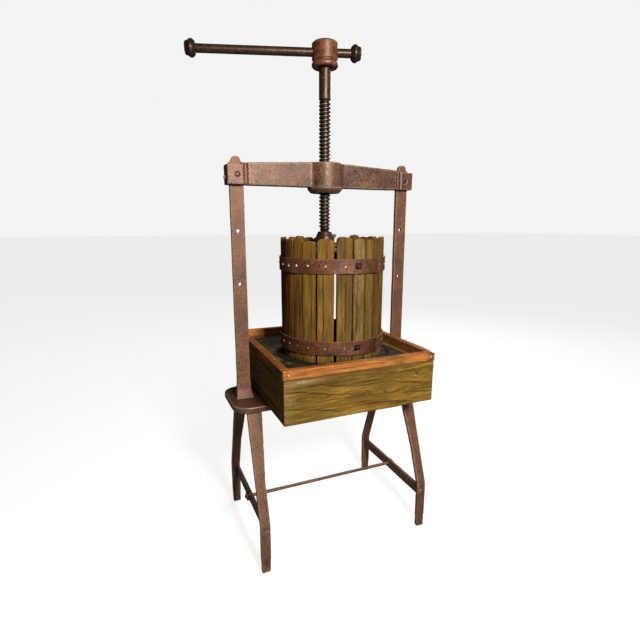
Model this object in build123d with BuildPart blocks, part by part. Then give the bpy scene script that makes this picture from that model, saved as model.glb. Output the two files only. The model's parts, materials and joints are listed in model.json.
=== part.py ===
from build123d import *
from math import atan2, cos, degrees, hypot, pi, radians, sin, tan
import os

# Antique floor-standing cider press.  Millimetres, +Z up, X along the crossbeam, -Y to the front.
# The origin is on the floor, under the axis of the screw.

# ---------------------------------------------------------------- driving dimensions
# iron frame
UPRIGHT_X = 252.0
UPRIGHT_WIDTH = 38.0
UPRIGHT_THICK = 12.0
SHOULDER_Z = 1083.0
TONGUE_RADIUS = 13.0
HOLE_RADIUS = 5.0
HOLE_PITCH = 142.5
PIN_Z = 1052.0

SHOE_TOP = 443.0
SHOE_THICK = 19.0
SHOE_OUTER_X = 298.0
SHOE_INNER_X = 150.0
SHOE_HALF_DEPTH = 92.0

LEG_THICK = 12.0
LEG_TOP_Y = 74.0
LEG_FOOT_Y = 176.0
LEG_BEND_Z = 140.0
STRETCHER_X = 244.0
STRETCHER_Z = 122.0
STRETCHER_THICK = 8.0
STRETCHER_HEIGHT = 32.0
TIE_ROD_RADIUS = 5.0

# crossbeam and nut
BEAM_BOTTOM = 1027.0
BEAM_END_TOP = 1080.0
BEAM_CROWN = 1092.0
WEB_HALF_THICK = 19.0
JAW_HALF_THICK = 22.0
JAW_INNER_X = 236.0
JAW_OUTER_X = 279.0
BOSS_RADIUS = 47.0
NUT_SLEEVE_RADIUS = 28.0
NUT_FLANGE_RADIUS = 50.0
NUT_BOTTOM = 1012.0

# screw: its one-start thread is drawn as closed ridges of the same pitch
PITCH = 10.0
THREAD_RADIUS = 16.0
THREAD_ROOT = 12.4
THREAD_CREST_WIDTH = 4.0
THREAD_FLANK = 1.2
THREAD_BOTTOM = 907.0
THREAD_TOP = 1257.5
SHANK_RADIUS = 16.4
HEAD_BOTTOM = 1335.0
HEAD_TOP = 1398.0
HEAD_RADIUS = 35.0
STUB_RADIUS = 14.0
STUB_LENGTH = 22.0
PINTLE_RADIUS = 11.0
PINTLE_BOTTOM = 869.3

# handle bar, lying through the head
BAR_Z = 1373.0
BAR_RADIUS = 11.0
BAR_ANGLE = -17.6
BAR_LEFT = -337.0
BAR_RIGHT = 69.0
KNOB_RADIUS = 22.5
KNOB_LENGTH = 28.0
SPIGOT_RADIUS = 8.0
SPIGOT_LENGTH = 14.0

# foot under the screw
HUB_TOP = 907.0
FOOT_PLATE_TOP = 861.0
FOOT_PLATE_BOTTOM = 851.0
FOOT_PLATE_RADIUS = 80.0
SET_SCREW_Z = 894.0
SET_SCREW_ANGLE = -25.0
RUNNING = 0.06

# tray
TRAY_X = 7.0
TRAY_Y = -3.0
TRAY_HALF_X = 220.0
TRAY_HALF_Y = 237.5
FLOOR_Z = 561.0
STRIP_HEIGHT = 23.5
STRIP_WIDTH = 22.0
STRIP_PROUD = 2.0
APRON_THICK = 38.0
PLANK_THICK = 32.0
PLANK_COUNT = 4
BEARER_Y = 90.0

# slatted basket, standing on the tray a little off the screw axis
BASKET_X = 9.0
BASKET_Y = -32.0
STAVE_OUTER = 146.7
STAVE_THICK = 15.0
STAVE_BOTTOM = 561.3
STAVE_GAP = 1.0
SPLIT_ANGLE = -92.5
HOOP_INNER = 147.0
HOOP_THICK = 3.0
HOOP_HEIGHT = 38.0
LOWER_HOOP_Z = 586.0
UPPER_HOOP_Z = 802.0
HINGE_RADIUS = 157.2
HINGE_PIN_RADIUS = 3.5
KNUCKLE_RADIUS = 6.4
HASP_ROOT = -97.0
HASP_END = -63.5
HASP_PLAY = 0.4
SLOT_START = -91.5
SLOT_END = -84.5
SLOT_HEIGHT = 17.0
STUD_ANGLE = -88.5
STUD_RADIUS = 4.0
NAIL_RADIUS = 1.5
NAIL_DEPTH = 11.0
NAIL_STEP = 9.5
NEXT_TO_HINGE = 0.97

# stave widths in degrees and top heights, from the front split round to the rear hinge, and the
# staves that have shrunk away from the one before, with the extra gap in degrees
LEFT_STAVES = [17.6, 20.4, 16.5, 12.0, 11.5, 13.7, 15.0, 14.0, 16.5, 12.8, 13.5, 14.0]
LEFT_TOPS = [895, 891, 885, 893, 890, 890, 888, 893, 887, 891, 894, 889]
LEFT_SHRUNK = {1: 1.8, 2: 1.0}
RIGHT_STAVES = [15.0, 12.5, 16.0, 15.0, 15.5, 16.5, 15.5, 15.5, 14.0, 17.0, 15.5, 14.5]
RIGHT_TOPS = [892, 889, 892, 890, 894, 888, 893, 891, 896, 889, 894, 890]
RIGHT_SHRUNK = {10: 1.8}

# follower boards, lying in the basket
FOLLOWER_RADIUS = 124.0
FOLLOWER_BOARD = 22.0
BATTEN_LENGTH = 196.0
BATTEN_WIDTH = 48.0
BATTEN_Y = 52.0

# ---------------------------------------------------------------- worked-out sizes
SHOE_BOTTOM = SHOE_TOP - SHOE_THICK
HOOP_OUTER = HOOP_INNER + HOOP_THICK
TRAY_LEFT = TRAY_X - TRAY_HALF_X
TRAY_RIGHT = TRAY_X + TRAY_HALF_X
TRAY_FRONT = TRAY_Y - TRAY_HALF_Y
TRAY_BACK = TRAY_Y + TRAY_HALF_Y
STRIP_TOP = FLOOR_Z + STRIP_HEIGHT
BASKET = Plane((BASKET_X, BASKET_Y, 0))
BAR_PLANE = Plane(origin=(0, 0, BAR_Z), x_dir=(-sin(radians(BAR_ANGLE)), cos(radians(BAR_ANGLE)), 0),
                  z_dir=(cos(radians(BAR_ANGLE)), sin(radians(BAR_ANGLE)), 0))

os.makedirs("parts", exist_ok=True)


def write(piece, name):
    """Label a finished piece and write its STEP file."""
    piece.label = name
    export_step(piece, f"parts/{name}.step")


def polar(radius, angle):
    """A point on a circle about the basket's axis, the angle in degrees from +X."""
    return (BASKET_X + radius * cos(radians(angle)), BASKET_Y + radius * sin(radians(angle)))


def box(x0, x1, y0, y1, z0, z1, mode=Mode.ADD):
    """A block between two corners."""
    with Locations(((x0 + x1) / 2, (y0 + y1) / 2, (z0 + z1) / 2)):
        Box(abs(x1 - x0), abs(y1 - y0), abs(z1 - z0), mode=mode)


def lateral_hole(x, z, radius, mode=Mode.SUBTRACT):
    """A round hole along Y, through whatever stands round (x, 0, z)."""
    with Locations((x, 0, z)):
        Cylinder(radius, 4 * JAW_HALF_THICK, rotation=(90, 0, 0), mode=mode)


# ---------------------------------------------------------------- uprights
def make_upright(side):
    """Flat bar with a shouldered round tongue on top and a flared foot with a tenon."""
    x = side * UPRIGHT_X
    flare = [(0, 50, 44), (8, 46, 30), (26, 41, 18), (58, UPRIGHT_WIDTH, UPRIGHT_THICK)]
    with BuildPart() as upright:
        box(x - UPRIGHT_WIDTH / 2, x + UPRIGHT_WIDTH / 2, -UPRIGHT_THICK / 2, UPRIGHT_THICK / 2,
            SHOE_TOP, SHOULDER_Z)
        with BuildSketch(Plane.XZ.offset(-UPRIGHT_THICK / 2)):
            with Locations((x, SHOULDER_Z + 3)):
                Circle(TONGUE_RADIUS)
            with Locations((x, SHOULDER_Z)):
                Rectangle(2 * TONGUE_RADIUS, 6)
        extrude(amount=UPRIGHT_THICK)
        for height, width, depth in flare:
            with BuildSketch(Plane((x, 0, SHOE_TOP + height))):
                RectangleRounded(width, depth, 4)
        loft(ruled=True)
        with Locations((x, 0, SHOE_TOP)):
            Box(24, 9, SHOE_THICK, align=(Align.CENTER, Align.CENTER, Align.MAX))
        for z in (PIN_Z, PIN_Z - HOLE_PITCH, PIN_Z - 2 * HOLE_PITCH):
            lateral_hole(x, z, HOLE_RADIUS)
    return upright.part


write(make_upright(-1), "left_upright")
write(make_upright(1), "right_upright")


# ---------------------------------------------------------------- shoes
def make_shoe(side):
    """Cast plate that carries an upright and the tray, with mortises for the upright and two legs."""
    outer = side * SHOE_OUTER_X
    inner = side * SHOE_INNER_X
    x = side * UPRIGHT_X
    with BuildPart() as shoe:
        with BuildSketch(Plane.XY.offset(SHOE_BOTTOM)):
            with BuildLine():
                Polyline((outer, -SHOE_HALF_DEPTH), (inner, -SHOE_HALF_DEPTH),
                         (inner, SHOE_HALF_DEPTH), (outer, SHOE_HALF_DEPTH), close=True)
            make_face()
        extrude(amount=SHOE_THICK)
        corners = shoe.edges().filter_by(Axis.Z).sort_by(Axis.X)
        fillet(corners[:2] if side < 0 else corners[-2:], 46)
        fillet(corners[2:] if side < 0 else corners[:2], 14)
        chamfer(shoe.faces().sort_by(Axis.Z)[0].edges(), 5)
        with Locations((x, 0, SHOE_BOTTOM)):
            Box(24, 9, SHOE_THICK, align=(Align.CENTER, Align.CENTER, Align.MIN), mode=Mode.SUBTRACT)
        for front in (-1, 1):
            with Locations((side * 243, front * LEG_TOP_Y, SHOE_BOTTOM)):
                Box(22, 8, 10, align=(Align.CENTER, Align.CENTER, Align.MIN), mode=Mode.SUBTRACT)
        rim = shoe.faces().sort_by(Axis.Z)[-1].outer_wire().edges()
        fillet(rim, 2.5)
    return shoe.part


write(make_shoe(-1), "left_shoe")
write(make_shoe(1), "right_shoe")


# ---------------------------------------------------------------- legs
def make_leg(side, front):
    """Tapered bar that slopes out from under the shoe and stands upright below its bend."""
    slope = (LEG_FOOT_Y - LEG_TOP_Y) / (SHOE_BOTTOM - LEG_BEND_Z)
    skew = LEG_THICK / 2 * hypot(1, slope)

    def edge(offset_y, bend_radius):
        top = LEG_TOP_Y + (skew if offset_y > 0 else -skew)
        foot = LEG_FOOT_Y + offset_y
        bend = SHOE_BOTTOM - (foot - top) / slope
        return FilletPolyline((front * top, SHOE_BOTTOM), (front * foot, bend), (front * foot, 0),
                              radius=bend_radius)

    with BuildPart() as leg:
        with BuildSketch(Plane.YZ.offset(side * UPRIGHT_X - 30)):
            with BuildLine():
                outside = edge(LEG_THICK / 2, 36)
                inside = edge(-LEG_THICK / 2, 24)
                Line(outside @ 0, inside @ 0)
                Line(outside @ 1, inside @ 1)
            make_face()
        extrude(amount=60)
        with BuildSketch(Plane.XZ.offset(-2 * LEG_FOOT_Y)):
            with BuildLine():
                Polyline((side * 264, SHOE_BOTTOM), (side * 263, 245), (side * 263, 110), (side * 261.5, 0),
                         (side * 236.5, 0), (side * 235, 110), (side * 235, 245), (side * 222, SHOE_BOTTOM),
                         close=True)
            make_face()
        extrude(amount=4 * LEG_FOOT_Y, mode=Mode.INTERSECT)
        with Locations((side * 243, front * LEG_TOP_Y, SHOE_BOTTOM)):
            Box(22, 8, 10, align=(Align.CENTER, Align.CENTER, Align.MIN))
        with Locations((side * STRETCHER_X, front * LEG_FOOT_Y, STRETCHER_Z)):
            Cylinder(HOLE_RADIUS, 3 * LEG_THICK, rotation=(90, 0, 0), mode=Mode.SUBTRACT)
    return leg.part


write(make_leg(-1, -1), "front_left_leg")
write(make_leg(-1, 1), "rear_left_leg")
write(make_leg(1, -1), "front_right_leg")
write(make_leg(1, 1), "rear_right_leg")


# ---------------------------------------------------------------- stretchers and tie rod
def make_stretcher(side):
    """Flat bar on edge between two legs, its round tenons peened over outside them."""
    x = side * STRETCHER_X
    half = LEG_FOOT_Y - LEG_THICK / 2 - 0.5
    with BuildPart() as stretcher:
        box(x - STRETCHER_THICK / 2, x + STRETCHER_THICK / 2, -half, half,
            STRETCHER_Z - STRETCHER_HEIGHT / 2, STRETCHER_Z + STRETCHER_HEIGHT / 2)
        for front in (-1, 1):
            face = Plane(origin=(x, front * (half - 1), STRETCHER_Z), z_dir=(0, front, 0))
            with BuildSketch(face):
                Circle(HOLE_RADIUS)
            extrude(amount=LEG_THICK + 2.5)
            with BuildSketch(face.offset(LEG_THICK + 1.5)):
                Circle(7)
            extrude(amount=3, taper=35)
        with Locations((x, 0, STRETCHER_Z)):
            Cylinder(TIE_ROD_RADIUS, 2 * STRETCHER_THICK, rotation=(0, 90, 0), mode=Mode.SUBTRACT)
    return stretcher.part


write(make_stretcher(-1), "left_stretcher")
write(make_stretcher(1), "right_stretcher")

NUT_INNER_X = STRETCHER_X + STRETCHER_THICK / 2
NUT_THICK = 9.0
ROD_END = NUT_INNER_X + NUT_THICK + 4

with BuildPart() as tie_rod:
    with Locations((0, 0, STRETCHER_Z)):
        Cylinder(TIE_ROD_RADIUS, 2 * ROD_END, rotation=(0, 90, 0))
    chamfer(tie_rod.edges().filter_by(GeomType.CIRCLE), 1)
write(tie_rod.part, "tie_rod")

with BuildPart() as tie_rod_nuts:
    for side in (-1, 1):
        with BuildSketch(Plane(origin=(side * NUT_INNER_X, 0, STRETCHER_Z), z_dir=(side, 0, 0))):
            Rectangle(19, 19)
            Circle(TIE_ROD_RADIUS, mode=Mode.SUBTRACT)
        extrude(amount=NUT_THICK)
write(tie_rod_nuts.part, "tie_rod_nuts")

# ---------------------------------------------------------------- crossbeam
with BuildPart() as crossbeam:
    with BuildSketch(Plane.XY.offset(BEAM_BOTTOM)) as plan:
        Rectangle(2 * JAW_INNER_X + 8, 2 * WEB_HALF_THICK)
        Circle(BOSS_RADIUS)
        fillet(plan.vertices().filter_by(lambda v: hypot(v.X, v.Y) < BOSS_RADIUS + 1), 14)
    extrude(amount=BEAM_CROWN - BEAM_BOTTOM)
    with BuildSketch(Plane.XZ.offset(-2 * BOSS_RADIUS)):
        with BuildLine():
            Polyline((-JAW_OUTER_X, BEAM_BOTTOM), (JAW_OUTER_X, BEAM_BOTTOM), (JAW_OUTER_X, BEAM_END_TOP),
                     (BOSS_RADIUS, BEAM_CROWN), (-BOSS_RADIUS, BEAM_CROWN), (-JAW_OUTER_X, BEAM_END_TOP),
                     close=True)
        make_face()
    extrude(amount=4 * BOSS_RADIUS, mode=Mode.INTERSECT)
    for side in (-1, 1):
        with BuildPart(mode=Mode.PRIVATE) as jaw:
            box(side * JAW_INNER_X, side * JAW_OUTER_X, -JAW_HALF_THICK, JAW_HALF_THICK,
                BEAM_BOTTOM, BEAM_END_TOP - 3)
            fillet(jaw.edges().filter_by(Axis.Z), 3)
        add(jaw.part)
        for front in (-1, 1):
            with Locations((side * (JAW_INNER_X - 6.5), front * (WEB_HALF_THICK + 1.5), BEAM_BOTTOM)):
                Cylinder(6.5, 80, align=(Align.CENTER, Align.CENTER, Align.MIN), mode=Mode.SUBTRACT)
        x = side * UPRIGHT_X
        box(x - UPRIGHT_WIDTH / 2, x + UPRIGHT_WIDTH / 2, -UPRIGHT_THICK / 2, UPRIGHT_THICK / 2,
            BEAM_BOTTOM - 5, BEAM_CROWN, mode=Mode.SUBTRACT)
        lateral_hole(x, PIN_Z, HOLE_RADIUS)
        for front in (-1, 1):
            with BuildSketch(Plane(origin=(x, front * JAW_HALF_THICK, PIN_Z), z_dir=(0, -front, 0))):
                Circle(7.5)
            extrude(amount=3, taper=20, mode=Mode.SUBTRACT)
        with Locations((side * JAW_OUTER_X, 0, PIN_Z - 7)):
            Cylinder(4, 30, rotation=(0, 90, 0), mode=Mode.SUBTRACT)
    with Locations((0, 0, BEAM_BOTTOM)):
        Cylinder(NUT_SLEEVE_RADIUS, 100, align=(Align.CENTER, Align.CENTER, Align.MIN),
                 mode=Mode.SUBTRACT)
write(crossbeam.part, "crossbeam")

with BuildPart() as jaw_pins:
    for side in (-1, 1):
        with Locations((side * UPRIGHT_X, 0, PIN_Z)):
            Cylinder(HOLE_RADIUS, 2 * JAW_HALF_THICK - 3, rotation=(90, 0, 0))
    chamfer(jaw_pins.edges().filter_by(GeomType.CIRCLE), 0.8)
write(jaw_pins.part, "jaw_pins")

SET_SCREW_INNER_X = UPRIGHT_X + UPRIGHT_WIDTH / 2
with BuildPart() as jaw_set_screws:
    for side in (-1, 1):
        with BuildSketch(Plane(origin=(side * SET_SCREW_INNER_X, 0, PIN_Z - 7), z_dir=(side, 0, 0))):
            Circle(4)
        extrude(amount=JAW_OUTER_X - SET_SCREW_INNER_X + 1)
        with BuildSketch(Plane(origin=(side * JAW_OUTER_X, 0, PIN_Z - 7), z_dir=(side, 0, 0))):
            Rectangle(9, 9)
        extrude(amount=4.5)
write(jaw_set_screws.part, "jaw_set_screws")


# ---------------------------------------------------------------- nut, screw and head
def ridges(bottom, top):
    """Outline points of the thread ridges, one per pitch, from the bottom up."""
    points = []
    low = bottom
    while low < top:
        points += [(THREAD_ROOT, low), (THREAD_ROOT, low + PITCH - THREAD_CREST_WIDTH - 2 * THREAD_FLANK),
                   (THREAD_RADIUS, low + PITCH - THREAD_CREST_WIDTH - THREAD_FLANK),
                   (THREAD_RADIUS, low + PITCH - THREAD_FLANK)]
        low += PITCH
    return points + [(THREAD_ROOT, top)]


with BuildPart() as screw_nut:
    with BuildSketch(Plane.XZ):
        with BuildLine():
            Polyline((0, NUT_BOTTOM), (NUT_FLANGE_RADIUS - 10, NUT_BOTTOM),
                     (NUT_FLANGE_RADIUS - 1.5, BEAM_BOTTOM - 6), (NUT_FLANGE_RADIUS, BEAM_BOTTOM),
                     (NUT_SLEEVE_RADIUS, BEAM_BOTTOM), (NUT_SLEEVE_RADIUS, BEAM_CROWN - 1),
                     (0, BEAM_CROWN - 1), close=True)
        make_face()
    revolve(axis=Axis.Z)
    with BuildSketch(Plane.XY.offset(NUT_BOTTOM)):
        Circle(THREAD_RADIUS + RUNNING)
    extrude(amount=BEAM_CROWN - NUT_BOTTOM, mode=Mode.SUBTRACT)
write(screw_nut.part, "screw_nut")

with BuildPart() as screw:
    with BuildSketch(Plane.XZ):
        with BuildLine():
            Polyline((0, PINTLE_BOTTOM), (PINTLE_RADIUS - 1, PINTLE_BOTTOM),
                     (PINTLE_RADIUS, PINTLE_BOTTOM + 1), (PINTLE_RADIUS, SET_SCREW_Z - 5),
                     (PINTLE_RADIUS - 3, SET_SCREW_Z - 5), (PINTLE_RADIUS - 3, SET_SCREW_Z + 5),
                     (PINTLE_RADIUS, SET_SCREW_Z + 5), (PINTLE_RADIUS, THREAD_BOTTOM + 0.5),
                     *ridges(THREAD_BOTTOM + 0.5, THREAD_TOP), (SHANK_RADIUS, THREAD_TOP),
                     (SHANK_RADIUS, HEAD_BOTTOM), (STUB_RADIUS, HEAD_BOTTOM),
                     (STUB_RADIUS, HEAD_BOTTOM + STUB_LENGTH), (0, HEAD_BOTTOM + STUB_LENGTH), close=True)
        make_face()
    revolve(axis=Axis.Z)
write(screw.part, "screw")

with BuildPart() as screw_head:
    with BuildSketch(Plane.XZ):
        with BuildLine():
            Polyline((0, HEAD_TOP), (HEAD_RADIUS - 5, HEAD_TOP), (HEAD_RADIUS, HEAD_TOP - 4),
                     (HEAD_RADIUS, HEAD_BOTTOM + 20), (HEAD_RADIUS - 2.5, HEAD_BOTTOM + 17),
                     (HEAD_RADIUS - 2.5, HEAD_BOTTOM + 14), (HEAD_RADIUS + 0.5, HEAD_BOTTOM + 10),
                     (HEAD_RADIUS + 0.5, HEAD_BOTTOM + 4), (HEAD_RADIUS - 3, HEAD_BOTTOM),
                     (SHANK_RADIUS + 4, HEAD_BOTTOM), (SHANK_RADIUS + 4, HEAD_BOTTOM + 2.5),
                     (STUB_RADIUS, HEAD_BOTTOM + 2.5), (STUB_RADIUS, HEAD_BOTTOM + STUB_LENGTH),
                     (0, HEAD_BOTTOM + STUB_LENGTH), close=True)
        make_face()
    revolve(axis=Axis.Z)
    with BuildSketch(BAR_PLANE.offset(-HEAD_RADIUS - 5)):
        Circle(BAR_RADIUS + RUNNING)
    extrude(amount=2 * HEAD_RADIUS + 10, mode=Mode.SUBTRACT)
write(screw_head.part, "screw_head")

# ---------------------------------------------------------------- handle bar and knobs
with BuildPart() as handle_bar:
    with BuildSketch(BAR_PLANE.offset(BAR_LEFT)):
        Circle(BAR_RADIUS)
    extrude(amount=BAR_RIGHT - BAR_LEFT)
    with BuildSketch(BAR_PLANE.offset(BAR_LEFT - SPIGOT_LENGTH)):
        Circle(SPIGOT_RADIUS)
    extrude(amount=BAR_RIGHT - BAR_LEFT + 2 * SPIGOT_LENGTH)
write(handle_bar.part, "handle_bar")


def make_knob(position, outward):
    """Mushroom knob turned about the bar, with a blind bore for the bar's spigot."""
    axis = BAR_PLANE.z_dir * outward
    plane = Plane(origin=BAR_PLANE.origin + BAR_PLANE.z_dir * position, x_dir=(0, 0, 1),
                  z_dir=Vector(0, 0, 1).cross(axis))
    with BuildPart() as knob:
        with BuildSketch(plane):
            with BuildLine():
                Line((0, 0), (BAR_RADIUS + 2, 0))
                Spline((BAR_RADIUS + 2, 0), (KNOB_RADIUS - 3, 5), (KNOB_RADIUS, 12),
                       (KNOB_RADIUS - 5, 21), (0, KNOB_LENGTH), tangents=((1, 0.4), (-1, 0)))
                Line((0, KNOB_LENGTH), (0, 0))
            make_face()
        revolve(axis=Axis(plane.origin, axis))
        with BuildSketch(Plane(origin=plane.origin, z_dir=axis)):
            Circle(SPIGOT_RADIUS)
        extrude(amount=SPIGOT_LENGTH, mode=Mode.SUBTRACT)
    return knob.part


write(make_knob(BAR_LEFT, -1), "left_knob")
write(make_knob(BAR_RIGHT, 1), "right_knob")

# ---------------------------------------------------------------- foot of the screw
SET_SCREW_PLANE = Plane(origin=(0, 0, SET_SCREW_Z), x_dir=(0, 0, 1),
                        z_dir=(cos(radians(SET_SCREW_ANGLE)), sin(radians(SET_SCREW_ANGLE)), 0))
FOOT_BOLT_CIRCLE = 38.0

with BuildPart() as foot_hub:
    with BuildSketch(Plane.XZ):
        with BuildLine():
            Polyline((0, FOOT_PLATE_TOP), (50, FOOT_PLATE_TOP), (50, FOOT_PLATE_TOP + 7),
                     (31, FOOT_PLATE_TOP + 10), (27.5, FOOT_PLATE_TOP + 20), (25, HUB_TOP - 15),
                     (19.7, HUB_TOP - 1.5), (18, HUB_TOP), (PINTLE_RADIUS + RUNNING, HUB_TOP),
                     (PINTLE_RADIUS + RUNNING, FOOT_PLATE_TOP + 8), (0, FOOT_PLATE_TOP + 8), close=True)
        make_face()
    revolve(axis=Axis.Z)
    with BuildSketch(SET_SCREW_PLANE):
        Circle(4)
    extrude(amount=40, mode=Mode.SUBTRACT)
    with PolarLocations(FOOT_BOLT_CIRCLE, 4, start_angle=45):
        with Locations((0, 0, FOOT_PLATE_TOP)):
            Cylinder(4, 30, mode=Mode.SUBTRACT)
write(foot_hub.part, "foot_hub")

with BuildPart() as foot_set_screw:
    with BuildSketch(SET_SCREW_PLANE.offset(PINTLE_RADIUS - 2)):
        Circle(4)
    extrude(amount=18)
    with BuildSketch(SET_SCREW_PLANE.offset(26)):
        Rectangle(11, 11)
    extrude(amount=7)
write(foot_set_screw.part, "foot_set_screw")

with BuildPart() as foot_plate:
    with BuildSketch(Plane.XY.offset(FOOT_PLATE_BOTTOM)):
        Circle(FOOT_PLATE_RADIUS)
    extrude(amount=FOOT_PLATE_TOP - FOOT_PLATE_BOTTOM)
    fillet(foot_plate.edges().filter_by(GeomType.CIRCLE), 3)
    with PolarLocations(FOOT_BOLT_CIRCLE, 4, start_angle=45):
        with Locations((0, 0, FOOT_PLATE_BOTTOM)):
            Cylinder(4, 30, mode=Mode.SUBTRACT)
write(foot_plate.part, "foot_plate")

with BuildPart() as foot_bolts:
    with PolarLocations(FOOT_BOLT_CIRCLE, 4, start_angle=45):
        with Locations((0, 0, FOOT_PLATE_BOTTOM)):
            Cylinder(4, 20, align=(Align.CENTER, Align.CENTER, Align.MIN))
        with Locations((0, 0, FOOT_PLATE_TOP + 10)):
            Box(13, 13, 6, align=(Align.CENTER, Align.CENTER, Align.MIN))
write(foot_bolts.part, "foot_bolts")


# ---------------------------------------------------------------- follower
with BuildPart() as follower_nails:
    for side in (-1, 1):
        for x in (-75, -30, 30, 75):
            with Locations((BASKET_X + x, BASKET_Y + side * BATTEN_Y, STAVE_BOTTOM + 2 * FOLLOWER_BOARD)):
                Cylinder(2, 34, align=(Align.CENTER, Align.CENTER, Align.MAX))
    follower_shanks = follower_nails.part
    for side in (-1, 1):
        for x in (-75, -30, 30, 75):
            with Locations((BASKET_X + x, BASKET_Y + side * BATTEN_Y, STAVE_BOTTOM + 2 * FOLLOWER_BOARD)):
                Cylinder(4, 1.2, align=(Align.CENTER, Align.CENTER, Align.MIN))
write(follower_nails.part, "follower_nails")


def make_follower_board(side):
    """Half-round board, one of the pair that lies in the basket."""
    with BuildPart() as board:
        with BuildSketch(Plane((BASKET_X, BASKET_Y, STAVE_BOTTOM))):
            Circle(FOLLOWER_RADIUS)
            with Locations((-side * (FOLLOWER_RADIUS - 1.5), 0)):
                Rectangle(2 * FOLLOWER_RADIUS, 3 * FOLLOWER_RADIUS, mode=Mode.SUBTRACT)
        extrude(amount=FOLLOWER_BOARD)
        chamfer(board.faces().sort_by(Axis.Z)[-1].edges(), 2)
        add(follower_shanks, mode=Mode.SUBTRACT)
    return board.part


def make_batten(side):
    """Block nailed across both follower boards."""
    with BuildPart() as batten:
        y = BASKET_Y + side * BATTEN_Y
        box(BASKET_X - BATTEN_LENGTH / 2, BASKET_X + BATTEN_LENGTH / 2,
            y - BATTEN_WIDTH / 2, y + BATTEN_WIDTH / 2,
            STAVE_BOTTOM + FOLLOWER_BOARD, STAVE_BOTTOM + 2 * FOLLOWER_BOARD)
        chamfer(batten.faces().sort_by(Axis.Z)[-1].edges(), 3)
        add(follower_shanks, mode=Mode.SUBTRACT)
    return batten.part


write(make_follower_board(-1), "left_follower_board")
write(make_follower_board(1), "right_follower_board")
write(make_batten(-1), "front_follower_batten")
write(make_batten(1), "rear_follower_batten")

# ---------------------------------------------------------------- tray
BODY_LEFT = TRAY_LEFT + STRIP_PROUD
BODY_RIGHT = TRAY_RIGHT - STRIP_PROUD
BODY_FRONT = TRAY_FRONT + STRIP_PROUD
BODY_BACK = TRAY_BACK - STRIP_PROUD
INNER_LEFT = BODY_LEFT + APRON_THICK
INNER_RIGHT = BODY_RIGHT - APRON_THICK
INNER_FRONT = BODY_FRONT + APRON_THICK
INNER_BACK = BODY_BACK - APRON_THICK


END_NAILS = [(x, y, side) for x in (TRAY_LEFT + 15, TRAY_RIGHT - 15)
             for y, side in ((TRAY_FRONT, -1), (TRAY_BACK, 1))]
TOP_NAILS = [(TRAY_X + step, TRAY_Y + side * (TRAY_HALF_Y - STRIP_WIDTH / 2))
             for step in (-130, 0, 130) for side in (-1, 1)]
TOP_NAILS += [(TRAY_X + side * (TRAY_HALF_X - STRIP_WIDTH / 2), TRAY_Y + step)
              for step in (-130, 0, 130) for side in (-1, 1)]


with BuildPart() as strip_nails:
    for x, y, side in END_NAILS:
        with BuildSketch(Plane(origin=(x, y, FLOOR_Z + STRIP_HEIGHT / 2), z_dir=(0, -side, 0))):
            Circle(NAIL_RADIUS)
        extrude(amount=36)
    for x, y in TOP_NAILS:
        with Locations((x, y, STRIP_TOP)):
            Cylinder(NAIL_RADIUS, 45, align=(Align.CENTER, Align.CENTER, Align.MAX))
    nail_shanks = strip_nails.part
    for x, y, side in END_NAILS:
        with BuildSketch(Plane(origin=(x, y, FLOOR_Z + STRIP_HEIGHT / 2), z_dir=(0, side, 0))):
            Circle(2 * NAIL_RADIUS)
        extrude(amount=1)
    for x, y in TOP_NAILS:
        with Locations((x, y, STRIP_TOP)):
            Cylinder(2 * NAIL_RADIUS, 1, align=(Align.CENTER, Align.CENTER, Align.MIN))
write(strip_nails.part, "strip_nails")


def make_block(x0, x1, y0, y1, z0, z1, softening, nailed=False):
    """A sawn timber with its edges eased, holed for the strip nails if they reach it."""
    with BuildPart() as block:
        box(x0, x1, y0, y1, z0, z1)
        chamfer(block.edges(), softening)
        if nailed:
            add(nail_shanks, mode=Mode.SUBTRACT)
    return block.part


write(make_block(BODY_LEFT, BODY_RIGHT, BODY_FRONT, INNER_FRONT, SHOE_TOP, FLOOR_Z, 1.5, True),
      "front_apron")
write(make_block(BODY_LEFT, BODY_RIGHT, INNER_BACK, BODY_BACK, SHOE_TOP, FLOOR_Z, 1.5, True),
      "rear_apron")
write(make_block(BODY_LEFT, INNER_LEFT, INNER_FRONT, INNER_BACK, SHOE_TOP, FLOOR_Z, 1.5, True),
      "left_apron")
write(make_block(INNER_RIGHT, BODY_RIGHT, INNER_FRONT, INNER_BACK, SHOE_TOP, FLOOR_Z, 1.5, True),
      "right_apron")

PLANK_WIDTH = (INNER_BACK - INNER_FRONT) / PLANK_COUNT
GROOVE_INNER = 156.0
GROOVE_OUTER = 167.0
GROOVE_DEPTH = 3.0
DRAIN_RADIUS = 8.0
DRAIN_Y = BASKET_Y + (GROOVE_INNER + GROOVE_OUTER) / 2


def make_plank(index):
    """Bed board along X, crossed by the round juice groove."""
    y0 = INNER_FRONT + index * PLANK_WIDTH
    with BuildPart() as plank:
        box(INNER_LEFT, INNER_RIGHT, y0 + 0.4, y0 + PLANK_WIDTH - 0.4, FLOOR_Z - PLANK_THICK, FLOOR_Z)
        with BuildSketch(Plane((BASKET_X, BASKET_Y, FLOOR_Z - GROOVE_DEPTH))):
            Circle(GROOVE_OUTER)
            Circle(GROOVE_INNER, mode=Mode.SUBTRACT)
        extrude(amount=GROOVE_DEPTH + 5, mode=Mode.SUBTRACT)
        with Locations((BASKET_X, DRAIN_Y, FLOOR_Z)):
            Cylinder(DRAIN_RADIUS, 4 * PLANK_THICK, mode=Mode.SUBTRACT)
    return plank.part


for number in range(PLANK_COUNT):
    write(make_plank(number), f"bed_plank_{number + 1}")

for name, side in (("front_bearer", -1), ("rear_bearer", 1)):
    y = side * BEARER_Y
    write(make_block(INNER_LEFT, INNER_RIGHT, y - 22, y + 22, FLOOR_Z - PLANK_THICK - 60,
                     FLOOR_Z - PLANK_THICK, 1), name)

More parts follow.
